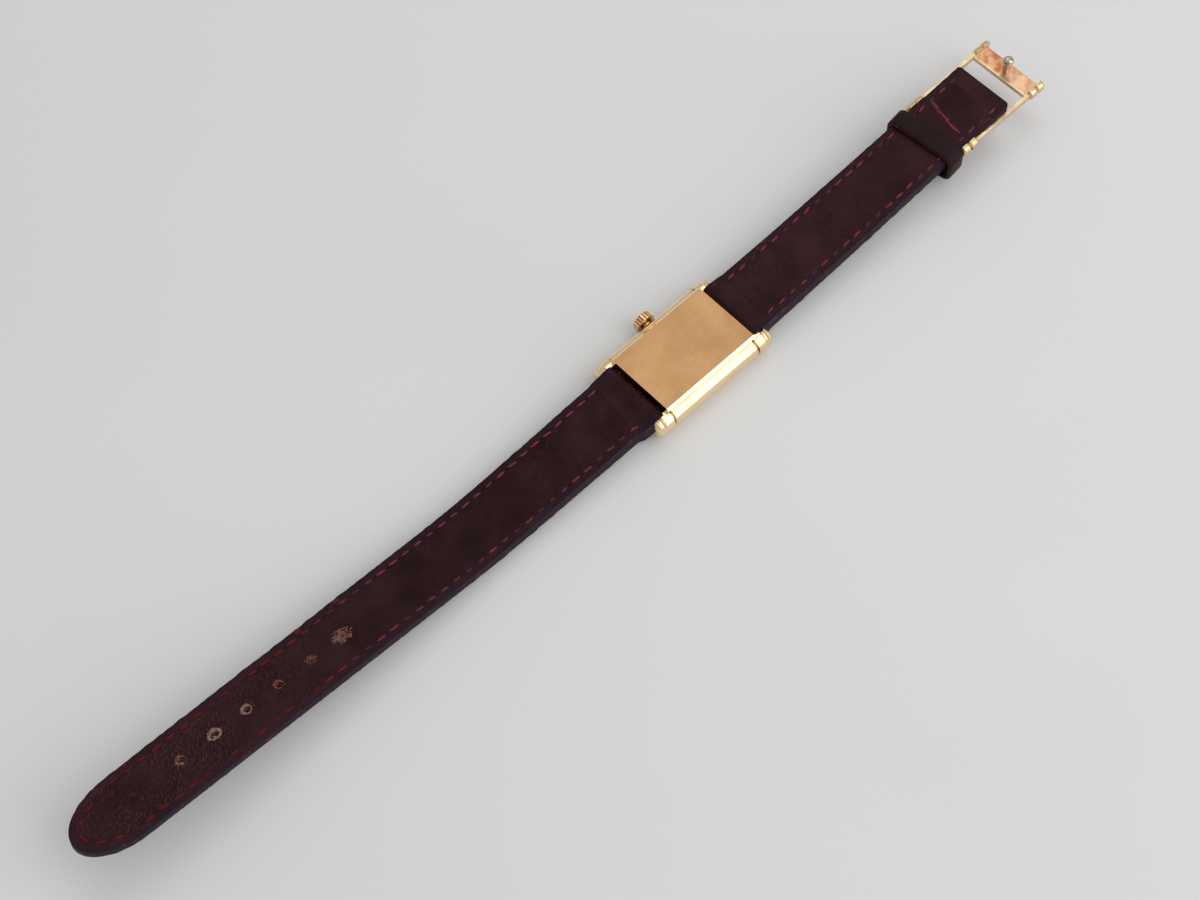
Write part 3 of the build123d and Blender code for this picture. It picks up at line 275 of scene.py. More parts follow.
# The rim attribute is 1 on a leather piece's raw edge
def leatherMaterial(name, look):
    material, tree, shader = newMaterial(name)
    grain = useGroup(tree, leatherGroup, {"Pebble Scale": look["pebbleScale"], "Wrinkle": look["wrinkle"],
                                          "Patch Scale": look["patchScale"]})
    rim = attributeOf(tree, "rim")
    base = blendColours(tree, grain["Patches"], look["dark"], look["light"])
    # Ridges are paler, partly from wear and partly as a painted highlight; creases are darker as painted
    # shade.
    base = blendColours(tree, times(tree, grain["RidgeWearAndHighlight"], look["ridgeWearAndHighlightShare"]), base, look["ridgeWearAndHighlight"])
    base = blendColours(tree, times(tree, grain["CreaseShade"], look["creaseShare"]), base, look["crease"])
    # The rim colour on the raw edge is partly the edge's own colour and, on the outer leather, partly a
    # painted bluish sheen
    base = blendColours(tree, times(tree, rim, look["rimEdgeAndSheenShare"]), base, look["rim"])
    base = blendColours(tree, times(tree, rim, grain["Nicks"]), base, look["nick"])
    rough = spread(tree, grain["Patches"], (0.0, 1.0), look["roughness"])
    feed(tree, shader, {"Base Color": base, "Roughness": rough, "Specular IOR Level": look["shine"]})
    bump(tree, shader, grain["Height"], look["bump"], look["bumpDepth"])
    return material


# How far a face is tilted from level, for bevels polished on a satin piece
def tiltOf(tree, look):
    upward = axisOf(tree, addNode(tree, "TexCoord").outputs["Normal"], "Z")
    return spread(tree, combine(tree, "ABSOLUTE", upward), look["bevelSpan"])


# Painted shade at the foot of the flutes, by the distance from the crown's axis, and not on its end faces
def fluteShadeIn(tree, look):
    where = addNode(tree, "TexCoord").outputs
    x = axisOf(tree, where["Object"], "X")
    rise = minus(tree, axisOf(tree, where["Object"], "Z"), look["axisHeight"])
    radius = combine(tree, "SQRT", combine(tree, "MULTIPLY_ADD", x, x, times(tree, rise, rise)))
    sunk = spread(tree, radius, look["fluteShadeSpan"], (1.0, 0.0))
    facing = axisOf(tree, where["Normal"], "Y")
    return times(tree, sunk, spread(tree, combine(tree, "ABSOLUTE", facing), look["sidewaysSpan"]))


# The plate between the arms, where the plating is rubbed, and the blotches there that are rubbed through
def rubbedPlate(tree, look):
    flat = objectPlace(tree)
    x, y = axisOf(tree, flat, "X"), axisOf(tree, flat, "Y")
    plate = times(tree, spread(tree, x, look["plateSpan"]),
                  spread(tree, combine(tree, "ABSOLUTE", y), look["withinSpan"]))
    crownward = spread(tree, y, look["crownSpan"], look["crownGain"])
    blotches = plus(tree, noiseAt(tree, flat, *look["blotchNoise"]), crownward)
    return plate, times(tree, plate, spread(tree, blotches, look["blotchSpan"]))


def goldMaterial(name, look):
    material, tree, shader = newMaterial(name)
    wear = useGroup(tree, metalGroup, {"Line Scale": look["lineScale"], "Smear Scale": look["smearScale"]})
    base = blendColours(tree, wear["Smears"], look["colour"], look["stain"])
    lines = spread(tree, wear["Lines"], metalWear["lineSpan"], (0.0, look["lineShare"]))
    base = blendColours(tree, lines, base, look["stain"])
    rough = spread(tree, wear["Smears"], (0.0, 1.0), look["roughness"])
    rough = plus(tree, rough, times(tree, wear["Scratches"], look["scratch"]))
    if "bevel" in look:
        tilted = tiltOf(tree, look)
        base = blendColours(tree, tilted, base, look["bevel"])
        rough = minus(tree, rough, times(tree, tilted, look["bevelPolish"]))
    # Painted shade at the foot of the crown's flutes
    if "fluteShade" in look:
        base = blendColours(tree, fluteShadeIn(tree, look), base, look["fluteShade"])
    if "bared" in look:
        plate, blotches = rubbedPlate(tree, look)
        base = blendColours(tree, plate, base, look["rubbed"])
        base = blendColours(tree, blotches, base, look["bared"])
    feed(tree, shader, {"Base Color": base, "Roughness": rough, "Metallic": 1.0})
    bump(tree, shader, wear["Lines"], look["bump"], look["bumpDepth"])
    return material


def simpleMaterial(name, colour, second, scale, roughness, metallic, bumpStrength=0.15, more=None):
    material, tree, shader = newMaterial(name)
    surface = useGroup(tree, plainGroup, {"Patch Scale": scale})
    mixed = blendColours(tree, surface["Tints"], colour, second)
    rough = spread(tree, surface["Polish"], (0.0, 1.0), roughness)
    feed(tree, shader, {"Base Color": mixed, "Roughness": rough, "Metallic": metallic} | (more or {}))
    bump(tree, shader, surface["Unevenness"], bumpStrength, plainSurface["bumpDepth"])
    return material


# In the leather looks, the crease colour is painted shade and the ridge colour is partly wear and partly a
# painted highlight.
leatherCommon = {
    "ridgeWearAndHighlightShare": 0.3, "creaseShare": 0.5, "pebbleScale": 2300.0, "bump": 0.5, "bumpDepth": 0.00005,
}
leatherLooks = {
    # The outer leather's rim colour is partly edge paint and partly a painted bluish sheen
    "outer": {
        "dark": (36, 15, 18), "light": (59, 33, 36), "crease": (18, 6, 8), "ridgeWearAndHighlight": (74, 46, 50),
        "rim": (36, 24, 42), "rimEdgeAndSheenShare": 0.65, "nick": (104, 42, 36), "wrinkle": 0.35, "patchScale": 120.0,
        "roughness": (0.36, 0.54), "shine": 0.06},
    "lining": {
        "dark": (30, 12, 16), "light": (58, 34, 37), "crease": (20, 7, 9), "creaseShare": 0.42,
        "ridgeWearAndHighlight": (98, 68, 62), "ridgeWearAndHighlightShare": 0.26, "rim": (26, 12, 18), "rimEdgeAndSheenShare": 0.8, "nick": (70, 34, 34),
        "pebbleScale": 2700.0, "wrinkle": 1.0, "patchScale": 110.0, "roughness": (0.44, 0.66), "shine": 0.05,
        "bump": 0.75, "bumpDepth": 0.00008},
    "core": {
        "dark": (70, 44, 36), "light": (110, 80, 64), "crease": (50, 30, 26), "ridgeWearAndHighlight": (130, 104, 86),
        "ridgeWearAndHighlightShare": 0.4, "rim": (92, 66, 54), "rimEdgeAndSheenShare": 0.0, "nick": (60, 40, 34), "pebbleScale": 3000.0,
        "wrinkle": 0.4, "patchScale": 300.0, "roughness": (0.8, 0.95), "shine": 0.2, "bump": 0.6},
    "loop": {
        "dark": (25, 10, 13), "light": (42, 23, 27), "crease": (12, 4, 6), "ridgeWearAndHighlight": (58, 36, 42),
        "rim": (84, 44, 26), "rimEdgeAndSheenShare": 0.3, "nick": (176, 100, 48), "wrinkle": 0.4, "patchScale": 160.0,
        "roughness": (0.34, 0.5), "shine": 0.09},
}
leathers = {
    name: leatherMaterial("leather " + name, leatherCommon | look) for name, look in leatherLooks.items()
}

goldCommon = {"lineScale": 2600.0, "lineShare": 0.2, "bump": 0.05, "bumpDepth": 0.00001}
goldLooks = {
    "polished": {
        "colour": (254, 230, 192), "stain": (246, 216, 172), "smearScale": 240.0, "roughness": (0.14, 0.28),
        "scratch": 0.12},
    "satin": {
        "colour": (204, 162, 116), "stain": (180, 137, 92), "lineScale": 5200.0, "smearScale": 75.0,
        "roughness": (0.36, 0.46), "scratch": 0.05, "lineShare": 0.5, "bump": 0.4, "bumpDepth": 0.000014,
        "bevel": (254, 230, 192), "bevelSpan": (0.99, 0.97), "bevelPolish": 0.24},
    # The fluted crown's shade colour is painted shade at the foot of its flutes
    "fluted": {
        "colour": (254, 228, 184), "stain": (232, 190, 136), "smearScale": 900.0, "roughness": (0.12, 0.22),
        "scratch": 0.1, "axisHeight": 0.00275, "fluteShadeSpan": (0.00186, 0.00194), "sidewaysSpan": (0.5, 0.2),
        "fluteShade": (150, 98, 58)},
    "worn": {
        "colour": (240, 220, 182), "stain": (222, 190, 146), "smearScale": 420.0, "roughness": (0.2, 0.4),
        "scratch": 0.15, "lineShare": 0.3, "bump": 0.12, "bumpDepth": 0.00002, "bared": (192, 114, 76),
        "rubbed": (232, 190, 152), "plateSpan": (0.0802, 0.0808), "withinSpan": (0.0061, 0.0055),
        "crownSpan": (-0.005, 0.0055), "crownGain": (-0.05, 0.15), "blotchNoise": (430.0, 4.0, 0.6),
        "blotchSpan": (0.46, 0.68)},
}
golds = {name: goldMaterial("gold " + name, goldCommon | look) for name, look in goldLooks.items()}
print("materials made")


# A strap half is modelled flat, as along, across and height in millimetres, and then bent to its line.
# Its thickness in the flat is the same all along, and side is the way that it runs from the case. Its halves
# are the real half thickness at the bar, at both ends of its bend and at its end. Leans are in degrees.
flatHalf = 1.25
longStrap = {
    "side": -1, "length": 114.2, "barX": 12.5, "barZ": 2.95, "leans": (-1.8, 6.2), "straight": 24.6,
    "bendRadius": 140.0, "halves": (1.7, 1.25, 1.1, 0.92), "halfWidth": 6.0, "endHalfWidth": 5.35,
    "fold": 3.45, "foldSkew": 0.55, "tip": 9.8, "liningEnd": 0.0, "nearPinch": 0.5, "farPinch": 0.2,
    "crinkleFrom": 56.0, "rowStarts": (3.2, 1.63), "pitch": 2.62,
}
shortStrap = {
    "side": 1, "length": 63.5, "barX": 12.5, "barZ": 2.95, "leans": (3.4, 4.9), "straight": 12.6,
    "bendRadius": 700.0, "halves": (1.7, 1.4, 1.3, 1.05), "halfWidth": 6.0, "endHalfWidth": 5.85,
    "fold": 2.7, "foldSkew": 0.0, "tip": 0.0, "liningEnd": 3.2, "nearPinch": 0.15, "farPinch": 0.15,
    "crinkleFrom": 70.0, "rowStarts": (2.95, 2.95), "pitch": 2.68,
}
strapEdge = {
    "rounding": 0.5, "roundingSegments": 4, "noseSegments": 8, "noseFlat": 0.02, "tipSteps": 22,
    "corner": 0.4, "rimReach": 0.4, "bulge": 0.38, "bulgeLength": 3.4, "columns": (1.5, 3),
}
liningSizes = {
    "inset": 1.08, "depth": 0.34, "proud": 0.03, "rounding": 0.1, "roundingSegments": 2, "rings": 4,
    "ringWidth": 0.12, "columns": (0.8, 5), "pocketInset": 1.15, "pocketDepth": 0.3, "pocketEndRoom": 0.05,
    "pocketAbove": 1.0,
}
stitchGroove = {"inset": 1.27, "depth": 0.15, "reach": 0.17, "tipGain": 0.5, "skin": 0.15, "reaches": 3}
coreSizes = {"start": 2.4, "inset": 0.6, "half": 0.62, "cellLength": 2.0}
cellLength = 0.6

# Unevenness of the worn leather, in millimetres. Steps are in the noise, per millimetre.
strapWear = {
    "wave": 0.18, "waveStep": 0.16, "waveSeed": 9.0, "edgeSeed": 2.0, "ripple": 0.05, "ripplePitch": 2.62,
    "sinking": 0.1, "sinkingSteps": (0.09, 0.05), "sinkingSeed": 4.0, "sinkingLevel": 0.5, "growsOver": 8.0,
    "pinchBefore": 0.3, "pinchOver": 0.9, "edgeFrom": 5.0, "crinkle": 0.1, "crinkleLeast": 0.2,
    "crinkleOver": 12.0, "crinkleSteps": (0.75, 0.08, 0.22), "crinkleSeed": 5.0,
}

# Limits for level and upright faces and for touching points, and angles in degrees
level, upright, touching = 0.9, 0.1, 0.01
sharpAngle, smoothAngle = 50, 180
leastReach, leastSlope = 0.05, 0.01


def clamped(value):
    return min(max(value, 0), 1)


# The middle of the strap at a distance from the bar, and its lean there
def strapMiddle(strap, along):
    firstLean, lastLean = (radians(lean) for lean in strap["leans"])
    radius, straight = strap["bendRadius"], strap["straight"]
    bendLength = radius * (lastLean - firstLean)
    run = min(along, straight)
    x = strap["barX"] + run * cos(firstLean)
    z = strap["barZ"] + run * sin(firstLean)
    lean = firstLean + min(max(along - straight, 0), bendLength) / radius
    x += radius * (sin(lean) - sin(firstLean))
    z += radius * (cos(firstLean) - cos(lean))
    rest = max(along - straight - bendLength, 0)
    return x + rest * cos(lean), z + rest * sin(lean), lean


def halfThickness(strap, along):
    firstLean, lastLean = (radians(lean) for lean in strap["leans"])
    bendEnd = strap["straight"] + strap["bendRadius"] * (lastLean - firstLean)
    stations = (0.0, strap["straight"], bendEnd, strap["length"])
    halves = strap["halves"]
    bulge = strapEdge["bulge"] * max(1.0 - along / strapEdge["bulgeLength"], 0) ** 2
    for index in range(3):
        if along <= stations[index + 1]:
            share = max(along - stations[index], 0) / (stations[index + 1] - stations[index])
            return halves[index] + share * (halves[index + 1] - halves[index]) + bulge
    return halves[3]


def halfWidth(strap, along):
    last = strap["length"] - strap["tip"]
    share = clamped((along - strap["fold"]) / (last - strap["fold"]))
    return strap["halfWidth"] + share * (strap["endHalfWidth"] - strap["halfWidth"])


# How far a flat point lies inside the strap's outline
def insetOf(strap, along, across):
    shoulder = strap["length"] - strap["tip"]
    if strap["tip"] and along > shoulder:
        reach = hypot((along - shoulder) / strap["tip"], across / strap["endHalfWidth"])
        slope = hypot((along - shoulder) / strap["tip"] ** 2, across / strap["endHalfWidth"] ** 2)
        return (1 - reach) * max(reach, leastReach) / max(slope, leastSlope)
    return min(halfWidth(strap, along) - abs(across), strap["length"] - along)


# Low ridges across the strap, deepest from the holes to the long tip
def crinkle(strap, along, across):
    alongStep, skewStep, acrossStep = strapWear["crinkleSteps"]
    place = Vector((along * alongStep + across * skewStep, across * acrossStep,
                    strap["side"] * strapWear["crinkleSeed"]))
    least = strapWear["crinkleLeast"]
    share = least + (1 - least) * clamped((along - strap["crinkleFrom"]) / strapWear["crinkleOver"])
    return strapWear["crinkle"] * share * noise.noise(place)


# Moves a flat piece's points to the strap's line, with the unevenness of worn leather
def bendStrap(strap, bm):
    wear, side = strapWear, strap["side"]
    alongStep, acrossStep = wear["sinkingSteps"]
    for vert in bm.verts:
        along, across, height = vert.co
        if along < 0:
            along *= halfThickness(strap, 0.0) / flatHalf
        half = halfThickness(strap, along)
        wave = noise.noise(Vector((along * wear["waveStep"], side * wear["waveSeed"],
                                   copysign(wear["edgeSeed"], across))))
        sinking = noise.noise(Vector((along * alongStep, across * acrossStep, side * wear["sinkingSeed"])))
        worn = clamped((along - strap["fold"]) / wear["growsOver"])
        ripple = wear["ripple"] * cos(2 * pi * along / wear["ripplePitch"])
        pinch = strap["nearPinch"] if across < 0 else strap["farPinch"]
        pinch *= clamped((strap["fold"] + wear["pinchBefore"] - along) / wear["pinchOver"])
        edgeward = min(abs(across) / wear["edgeFrom"], 1.0)
        across += copysign(edgeward * ((wear["wave"] * wave + ripple) * worn - pinch), across)
        height *= half / flatHalf
        if height > 0:
            sunk = wear["sinking"] * (wear["sinkingLevel"] + sinking)
            height += (crinkle(strap, along, across) - sunk) * worn
        x, z, lean = strapMiddle(strap, max(along, 0))
        back = min(along, 0)
        x += back * cos(lean) - height * sin(lean)
        z += back * sin(lean) + height * cos(lean)
        vert.co = Vector((side * x, across, z)) * mm
    if side < 0:
        bmesh.ops.reverse_faces(bm, faces=bm.faces[:])


# A strap's outline as along and across, from a place along it and kept inside its edges
def outline(strap, start, inset, endInset=0.0):
    shoulder = strap["length"] - strap["tip"]
    side = [(start, halfWidth(strap, start) - inset)]
    if start < strap["fold"]:
        side.append((strap["fold"], strap["halfWidth"] - inset))
    point = []
    if strap["tip"]:
        for step in range(strapEdge["tipSteps"]):
            turn = pi / 2 * step / strapEdge["tipSteps"]
            side.append((shoulder + (strap["tip"] - inset) * sin(turn),
                         (strap["endHalfWidth"] - inset) * cos(turn)))
        point = [(strap["length"] - inset, 0.0)]
    else:
        corner, end = strapEdge["corner"], strap["length"] - endInset
        side += [(end - corner, strap["endHalfWidth"] - inset), (end, strap["endHalfWidth"] - inset - corner)]
    return side + point + [(along, -across) for along, across in reversed(side)]


# The lining's outline, whose start may lie askew
def liningOutline(strap, inset, endInset):
    points = outline(strap, strap["fold"], inset, endInset)
    points[0] = (points[0][0] - strap["foldSkew"], points[0][1])
    points[-1] = (points[-1][0] + strap["foldSkew"], points[-1][1])
    return points


def faceOutward(bm):
    bmesh.ops.recalc_face_normals(bm, faces=bm.faces[:])


def slab(points, low, high):
    bm = bmesh.new()
    base = bm.faces.new([bm.verts.new((along, across, low)) for along, across in points])
    raised = bmesh.ops.extrude_face_region(bm, geom=[base])["geom"]
    bmesh.ops.translate(bm, verts=[item for item in raised if isinstance(item, bmesh.types.BMVert)],
                        vec=(0, 0, high - low))
    bmesh.ops.holes_fill(bm, edges=[edge for edge in bm.edges if edge.is_boundary])
    faceOutward(bm)
    return bm


def roundEdges(bm, edges, offset, segments):
    bmesh.ops.bevel(bm, geom=edges, offset=offset, offset_type="OFFSET", segments=segments, profile=0.5,
                    affect="EDGES", clamp_overlap=True, material=-1)


# The edges where a face of one kind meets a face of another
def edgesBetween(bm, isOneKind):
    return [edge for edge in bm.edges
            if len(edge.link_faces) == 2 and sum(isOneKind(face) for face in edge.link_faces) == 1]


def cutThrough(bm, place, direction):
    everything = bm.verts[:] + bm.edges[:] + bm.faces[:]
    bmesh.ops.bisect_plane(bm, geom=everything, plane_co=place, plane_no=direction)


# Cross cuts so that the flat piece can bend
def cutAcross(bm, start, end, length):
    for index in range(1, int((end - start) / length) + 1):
        cutThrough(bm, (start + index * length, 0, 0), (1, 0, 0))


# Lengthwise cuts at equal steps, so many on each side of the middle
def cutLengthwise(bm, width, aside):
    for step in range(-aside, aside + 1):
        cutThrough(bm, (0, step * width, 0), (0, 1, 0))


def addPiece(name, bm, material, angle=sharpAngle):
    mesh = bpy.data.meshes.new(name)
    bm.to_mesh(mesh)
    bm.free()
    mesh.materials.append(material)
    mesh.shade_smooth()
    mesh.set_sharp_from_angle(angle=radians(angle))
    piece = bpy.data.objects.new(name, mesh)
    scene.collection.objects.link(piece)
    return piece


def cutAway(piece, cutter):
    cut = piece.modifiers.new("cut", "BOOLEAN")
    cut.operation = "DIFFERENCE"
    cut.solver = "EXACT"
    cut.object = cutter
    bpy.context.view_layer.update()
    changed = piece.evaluated_get(bpy.context.evaluated_depsgraph_get())
    mesh = bpy.data.meshes.new_from_object(changed)
    piece.modifiers.clear()
    piece.data = mesh
    bpy.data.objects.remove(cutter)


def reshape(piece, change):
    bm = bmesh.new()
    bm.from_mesh(piece.data)
    change(bm)
    bm.to_mesh(piece.data)
    bm.free()
    piece.data.set_sharp_from_angle(angle=radians(sharpAngle))


# Punched holes, from the tip towards the case: radii along and across, the rim's width, how torn and pale it
# is, how much wider one side is and which side in degrees from the tip, and the fibres over it with their
# reach. All lie on the strap's last straight run, which starts at the bend's end.
holeWords = ("radii", "rim", "torn", "oneSided", "side", "fibres", "reach")
holeRows = (
    ((0.6, 0.58), 0.3, 0.25, 0.85, 50, 5, 1.5),
    ((0.76, 0.46), 0.5, 1.0, 0.25, 110, 9, 1.3),
    ((0.55, 0.46), 0.42, 0.85, 0.5, 60, 8, 1.2),
    ((0.52, 0.5), 0.3, 0.2, 0.85, 70, 4, 1.0),
    ((0.46, 0.4), 0.24, 0.45, 0.5, 95, 22, 0.9),
    ((0.46, 0.34), 0.4, 0.7, 0.2, 0, 95, 1.5),
)
firstHoleX, holePitch = 106.548, 6.2
bendEndX, bendEndAlong, lastLean = 56.605, 44.148, radians(longStrap["leans"][1])
punchedHoles = [dict(zip(holeWords, row)) for row in holeRows]
for index, hole in enumerate(punchedHoles):
    hole["x"] = firstHoleX - index * holePitch
    hole["along"] = bendEndAlong + (hole["x"] - bendEndX) / cos(lastLean)

# How far the holes' cutters are wider than the holes in each layer, and the radii of the spring bars' tunnels
cutters = {
    "outerGrowth": 0.12, "liningGrowth": 0.1, "coreGrowth": -0.26, "holeSegments": 28, "holeDepth": 6,
    "caseTunnel": 0.83, "buckleTunnel": 0.68, "tunnelSegments": 32, "tunnelDepth": 16,
}


def holeCutter(grow):
    bm = bmesh.new()
    for hole in punchedHoles:
        shape = Matrix.Translation((hole["along"], 0, 0)) @ Matrix.Diagonal(
            (hole["radii"][0] + grow, hole["radii"][1] + grow, 1, 1))
        bmesh.ops.create_cone(bm, cap_ends=True, segments=cutters["holeSegments"], radius1=1, radius2=1,
                              depth=cutters["holeDepth"], matrix=shape)
    return addPiece("cutter", bm, leathers["core"])


# A round tunnel across the strap, at a place along it
def tunnelCutter(along, radius, squeeze):
    bm = bmesh.new()
    shape = Matrix.Translation((along, 0, 0)) @ Matrix.Diagonal((1, 1, squeeze, 1)) @ Matrix.Rotation(
        pi / 2, 4, "X")
    bmesh.ops.create_cone(bm, cap_ends=True, segments=cutters["tunnelSegments"], radius1=radius,
                          radius2=radius, depth=cutters["tunnelDepth"], matrix=shape)
    for vert in bm.verts:
        if along == 0 and vert.co.x < 0:
            vert.co.x *= squeeze
    return addPiece("cutter", bm, leathers["core"])


# Level edges at the very end by the case, which become the round nose
def isNose(edge):
    ends = [vert.co for vert in edge.verts]
    return all(end.x < -flatHalf + touching for end in ends) and abs(ends[0].z - ends[1].z) < touching


def strapBody(name, strap):
    bm = slab(outline(strap, -flatHalf, 0.0), -flatHalf, flatHalf)
    walls = {face for face in bm.faces
             if abs(face.normal.z) < upright and face.calc_center_median().x > touching - flatHalf}
    nose = [edge for edge in bm.edges if isNose(edge)]
    roundEdges(bm, nose, flatHalf - strapEdge["noseFlat"], strapEdge["noseSegments"])
    rims = edgesBetween(bm, lambda face: face in walls)
    roundEdges(bm, rims, strapEdge["rounding"], strapEdge["roundingSegments"])
    cutAcross(bm, 0.0, strap["length"], cellLength)
    cutLengthwise(bm, *strapEdge["columns"])
    return addPiece(name, bm, leathers["outer"])


def strapLining(name, strap):
    sizes = liningSizes
    bm = slab(liningOutline(strap, sizes["inset"], strap["liningEnd"]), flatHalf - sizes["depth"],
              flatHalf + sizes["proud"])
    top = [face for face in bm.faces if face.normal.z > level]
    roundEdges(bm, top[0].edges[:], sizes["rounding"], sizes["roundingSegments"])
    for ring in range(sizes["rings"]):
        top = [face for face in bm.faces if face.normal.z > level]
        bmesh.ops.inset_region(bm, faces=[max(top, key=lambda face: face.calc_area())],
                               thickness=sizes["ringWidth"], use_even_offset=True, use_boundary=True)
    cutAcross(bm, strap["fold"], strap["length"], cellLength)
    cutLengthwise(bm, *sizes["columns"])
    return addPiece(name, bm, leathers["lining"])


# Room in the outer leather for the lining
def pocketCutter(strap):
    sizes = liningSizes
    points = liningOutline(strap, sizes["pocketInset"], strap["liningEnd"] + sizes["pocketEndRoom"])
    bm = slab(points, flatHalf - sizes["pocketDepth"], flatHalf + sizes["pocketAbove"])
    cutAcross(bm, strap["fold"], strap["length"], cellLength)
    cutLengthwise(bm, *strapEdge["columns"])
    return addPiece("cutter", bm, leathers["outer"])


def markRim(strap, bm):
    rim = bm.verts.layers.float.new("rim")
    for vert in bm.verts:
        vert[rim] = clamped(1.0 - insetOf(strap, vert.co.x, vert.co.y) / strapEdge["rimReach"])


# The groove that the stitches lie in, further from the edge round the tip
def pressGroove(strap, bm):
    shoulder = strap["length"] - strap["tip"]
    for vert in bm.verts:
        tipShare = max(vert.co.x - shoulder, 0) / strap["tip"] if strap["tip"] else 0
        middle = stitchGroove["inset"] + stitchGroove["tipGain"] * tipShare
        away = (insetOf(strap, vert.co.x, vert.co.y) - middle) / stitchGroove["reach"]
        if vert.co.z > flatHalf - stitchGroove["skin"] and abs(away) < stitchGroove["reaches"]:
            vert.co.z -= stitchGroove["depth"] * exp(-away * away)


def strapCore(name, strap):
    inset, half = coreSizes["inset"], coreSizes["half"]
    bm = slab(outline(strap, coreSizes["start"], inset, inset), -half, half)
    cutAcross(bm, 0.0, strap["length"], coreSizes["cellLength"])
    return addPiece(name, bm, leathers["core"])


buckleBarFromEnd = 11.0
buckleBarAlong = shortStrap["length"] - buckleBarFromEnd
noseSqueeze = flatHalf / halfThickness(longStrap, 0.0)
for title, strap, body in (("long", longStrap, "long_strap"), ("short", shortStrap, "short_strap")):
    leatherPiece = strapBody(title + "_strap_leather", strap)
    liningPiece = strapLining(title + "_strap_inside", strap)
    corePiece = strapCore(title + "_strap_core", strap)
    cutAway(leatherPiece, pocketCutter(strap))
    reshape(liningPiece, lambda bm: pressGroove(strap, bm))
    if strap is longStrap:
        cutAway(leatherPiece, holeCutter(cutters["outerGrowth"]))
        cutAway(liningPiece, holeCutter(cutters["liningGrowth"]))
        cutAway(corePiece, holeCutter(cutters["coreGrowth"]))
    else:
        barSqueeze = flatHalf / halfThickness(strap, buckleBarAlong)
        for piece in (leatherPiece, liningPiece, corePiece):
            cutAway(piece, tunnelCutter(buckleBarAlong, cutters["buckleTunnel"], barSqueeze))
    cutAway(leatherPiece, tunnelCutter(0.0, cutters["caseTunnel"], noseSqueeze))
    reshape(leatherPiece, lambda bm: markRim(strap, bm))
    for piece, node in ((leatherPiece, "outer"), (liningPiece, "lining"), (corePiece, "filler")):
        reshape(piece, lambda bm: bendStrap(strap, bm))
        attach(piece, body)
        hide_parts(title + "_strap_" + node)
print("straps made")

# Stitches: rows near the edges on both faces, and a short row across beside the buckle's bar
stitch = {
    "length": 1.95, "width": 0.44, "height": 0.26, "slant": 4.0, "slantPlay": 5, "acrossPlay": 0.06,
    "wornShorter": 0.35, "proud": 0.02, "wornSunk": 0.06, "segments": 8, "rings": 6, "pathSteps": 200,
    "pastLining": 0.4, "shortRow": [(54.3, 4.3), (52.8, -3.4)], "shortPitch": 0.42, "shortStart": 0.3,
    "shortLength": 1.2, "shortSway": 0.26, "shortWorn": 0.9,
}


# Paths that the stitches follow, as along and across
def stitchPaths(strap):
    inset, count = stitchGroove["inset"], stitch["pathSteps"]
    shoulder = strap["length"] - strap["tip"]
    end = shoulder if strap["tip"] else strap["length"] - strap["liningEnd"] + stitch["pastLining"]
    sides = []
    for start, side in zip(strap["rowStarts"], (1, -1)):
        places = [start + (end - start) * step / count for step in range(count + 1)]
        sides.append([(along, side * (halfWidth(strap, along) - inset)) for along in places])
    if not strap["tip"]:
        return sides
    point = []
    for step in range(1, count):
        turn = pi * step / count
        tipInset = inset + stitchGroove["tipGain"] * sin(turn)
        point.append((shoulder + (strap["tip"] - tipInset) * sin(turn),
                      (strap["endHalfWidth"] - tipInset) * cos(turn)))
    return [sides[0] + point + sides[1][::-1]]


# Points at equal steps along a path, each with the path's direction there
def pacedPlaces(path, pitch, offset):
    places, wanted, gone = [], offset, 0.0
    for (firstX, firstY), (lastX, lastY) in zip(path, path[1:]):
        length = hypot(lastX - firstX, lastY - firstY)
        while length > 0 and wanted <= gone + length:
            share = (wanted - gone) / length
            places.append((firstX + share * (lastX - firstX), firstY + share * (lastY - firstY),
                           atan2(lastY - firstY, lastX - firstX)))
            wanted += pitch
        gone += length
    return places


def addStitch(bm, tone, place, face, length, worn):
    along, across, heading = place
    length *= 1.0 - stitch["wornShorter"] * worn * worn
    slant = radians(stitch["slant"] + chance.uniform(-stitch["slantPlay"], stitch["slantPlay"]))
    across += chance.uniform(-stitch["acrossPlay"], stitch["acrossPlay"])
    height = face * (flatHalf + stitch["proud"] - stitch["wornSunk"] * worn)
    shape = (Matrix.Translation((along, across, height))
             @ Matrix.Rotation(heading + slant, 4, "Z")
             @ Matrix.Diagonal((length / 2, stitch["width"] / 2, stitch["height"] / 2, 1))
             @ Matrix.Rotation(pi / 2, 4, "Y"))
    made = bmesh.ops.create_uvsphere(bm, u_segments=stitch["segments"], v_segments=stitch["rings"], radius=1,
                                     matrix=shape)
    for vert in made["verts"]:
        vert[tone] = worn


def stitchRows(name, strap, material):
    bm = bmesh.new()
    tone = bm.verts.layers.float.new("tone")
    for face in (1, -1):
        for path in stitchPaths(strap):
            for place in pacedPlaces(path, strap["pitch"], stitch["length"] / 2):
                addStitch(bm, tone, place, face, stitch["length"], chance.random())
        if strap is shortStrap:
            row = pacedPlaces(stitch["shortRow"], stitch["shortPitch"], stitch["shortStart"])
            for along, across, heading in row:
                place = (along + chance.uniform(-1, 1) * stitch["shortSway"], across, heading)
                addStitch(bm, tone, place, face, stitch["shortLength"], stitch["shortWorn"] * chance.random())
    bendStrap(strap, bm)
    faceOutward(bm)
    return addPiece(name, bm, material, smoothAngle)


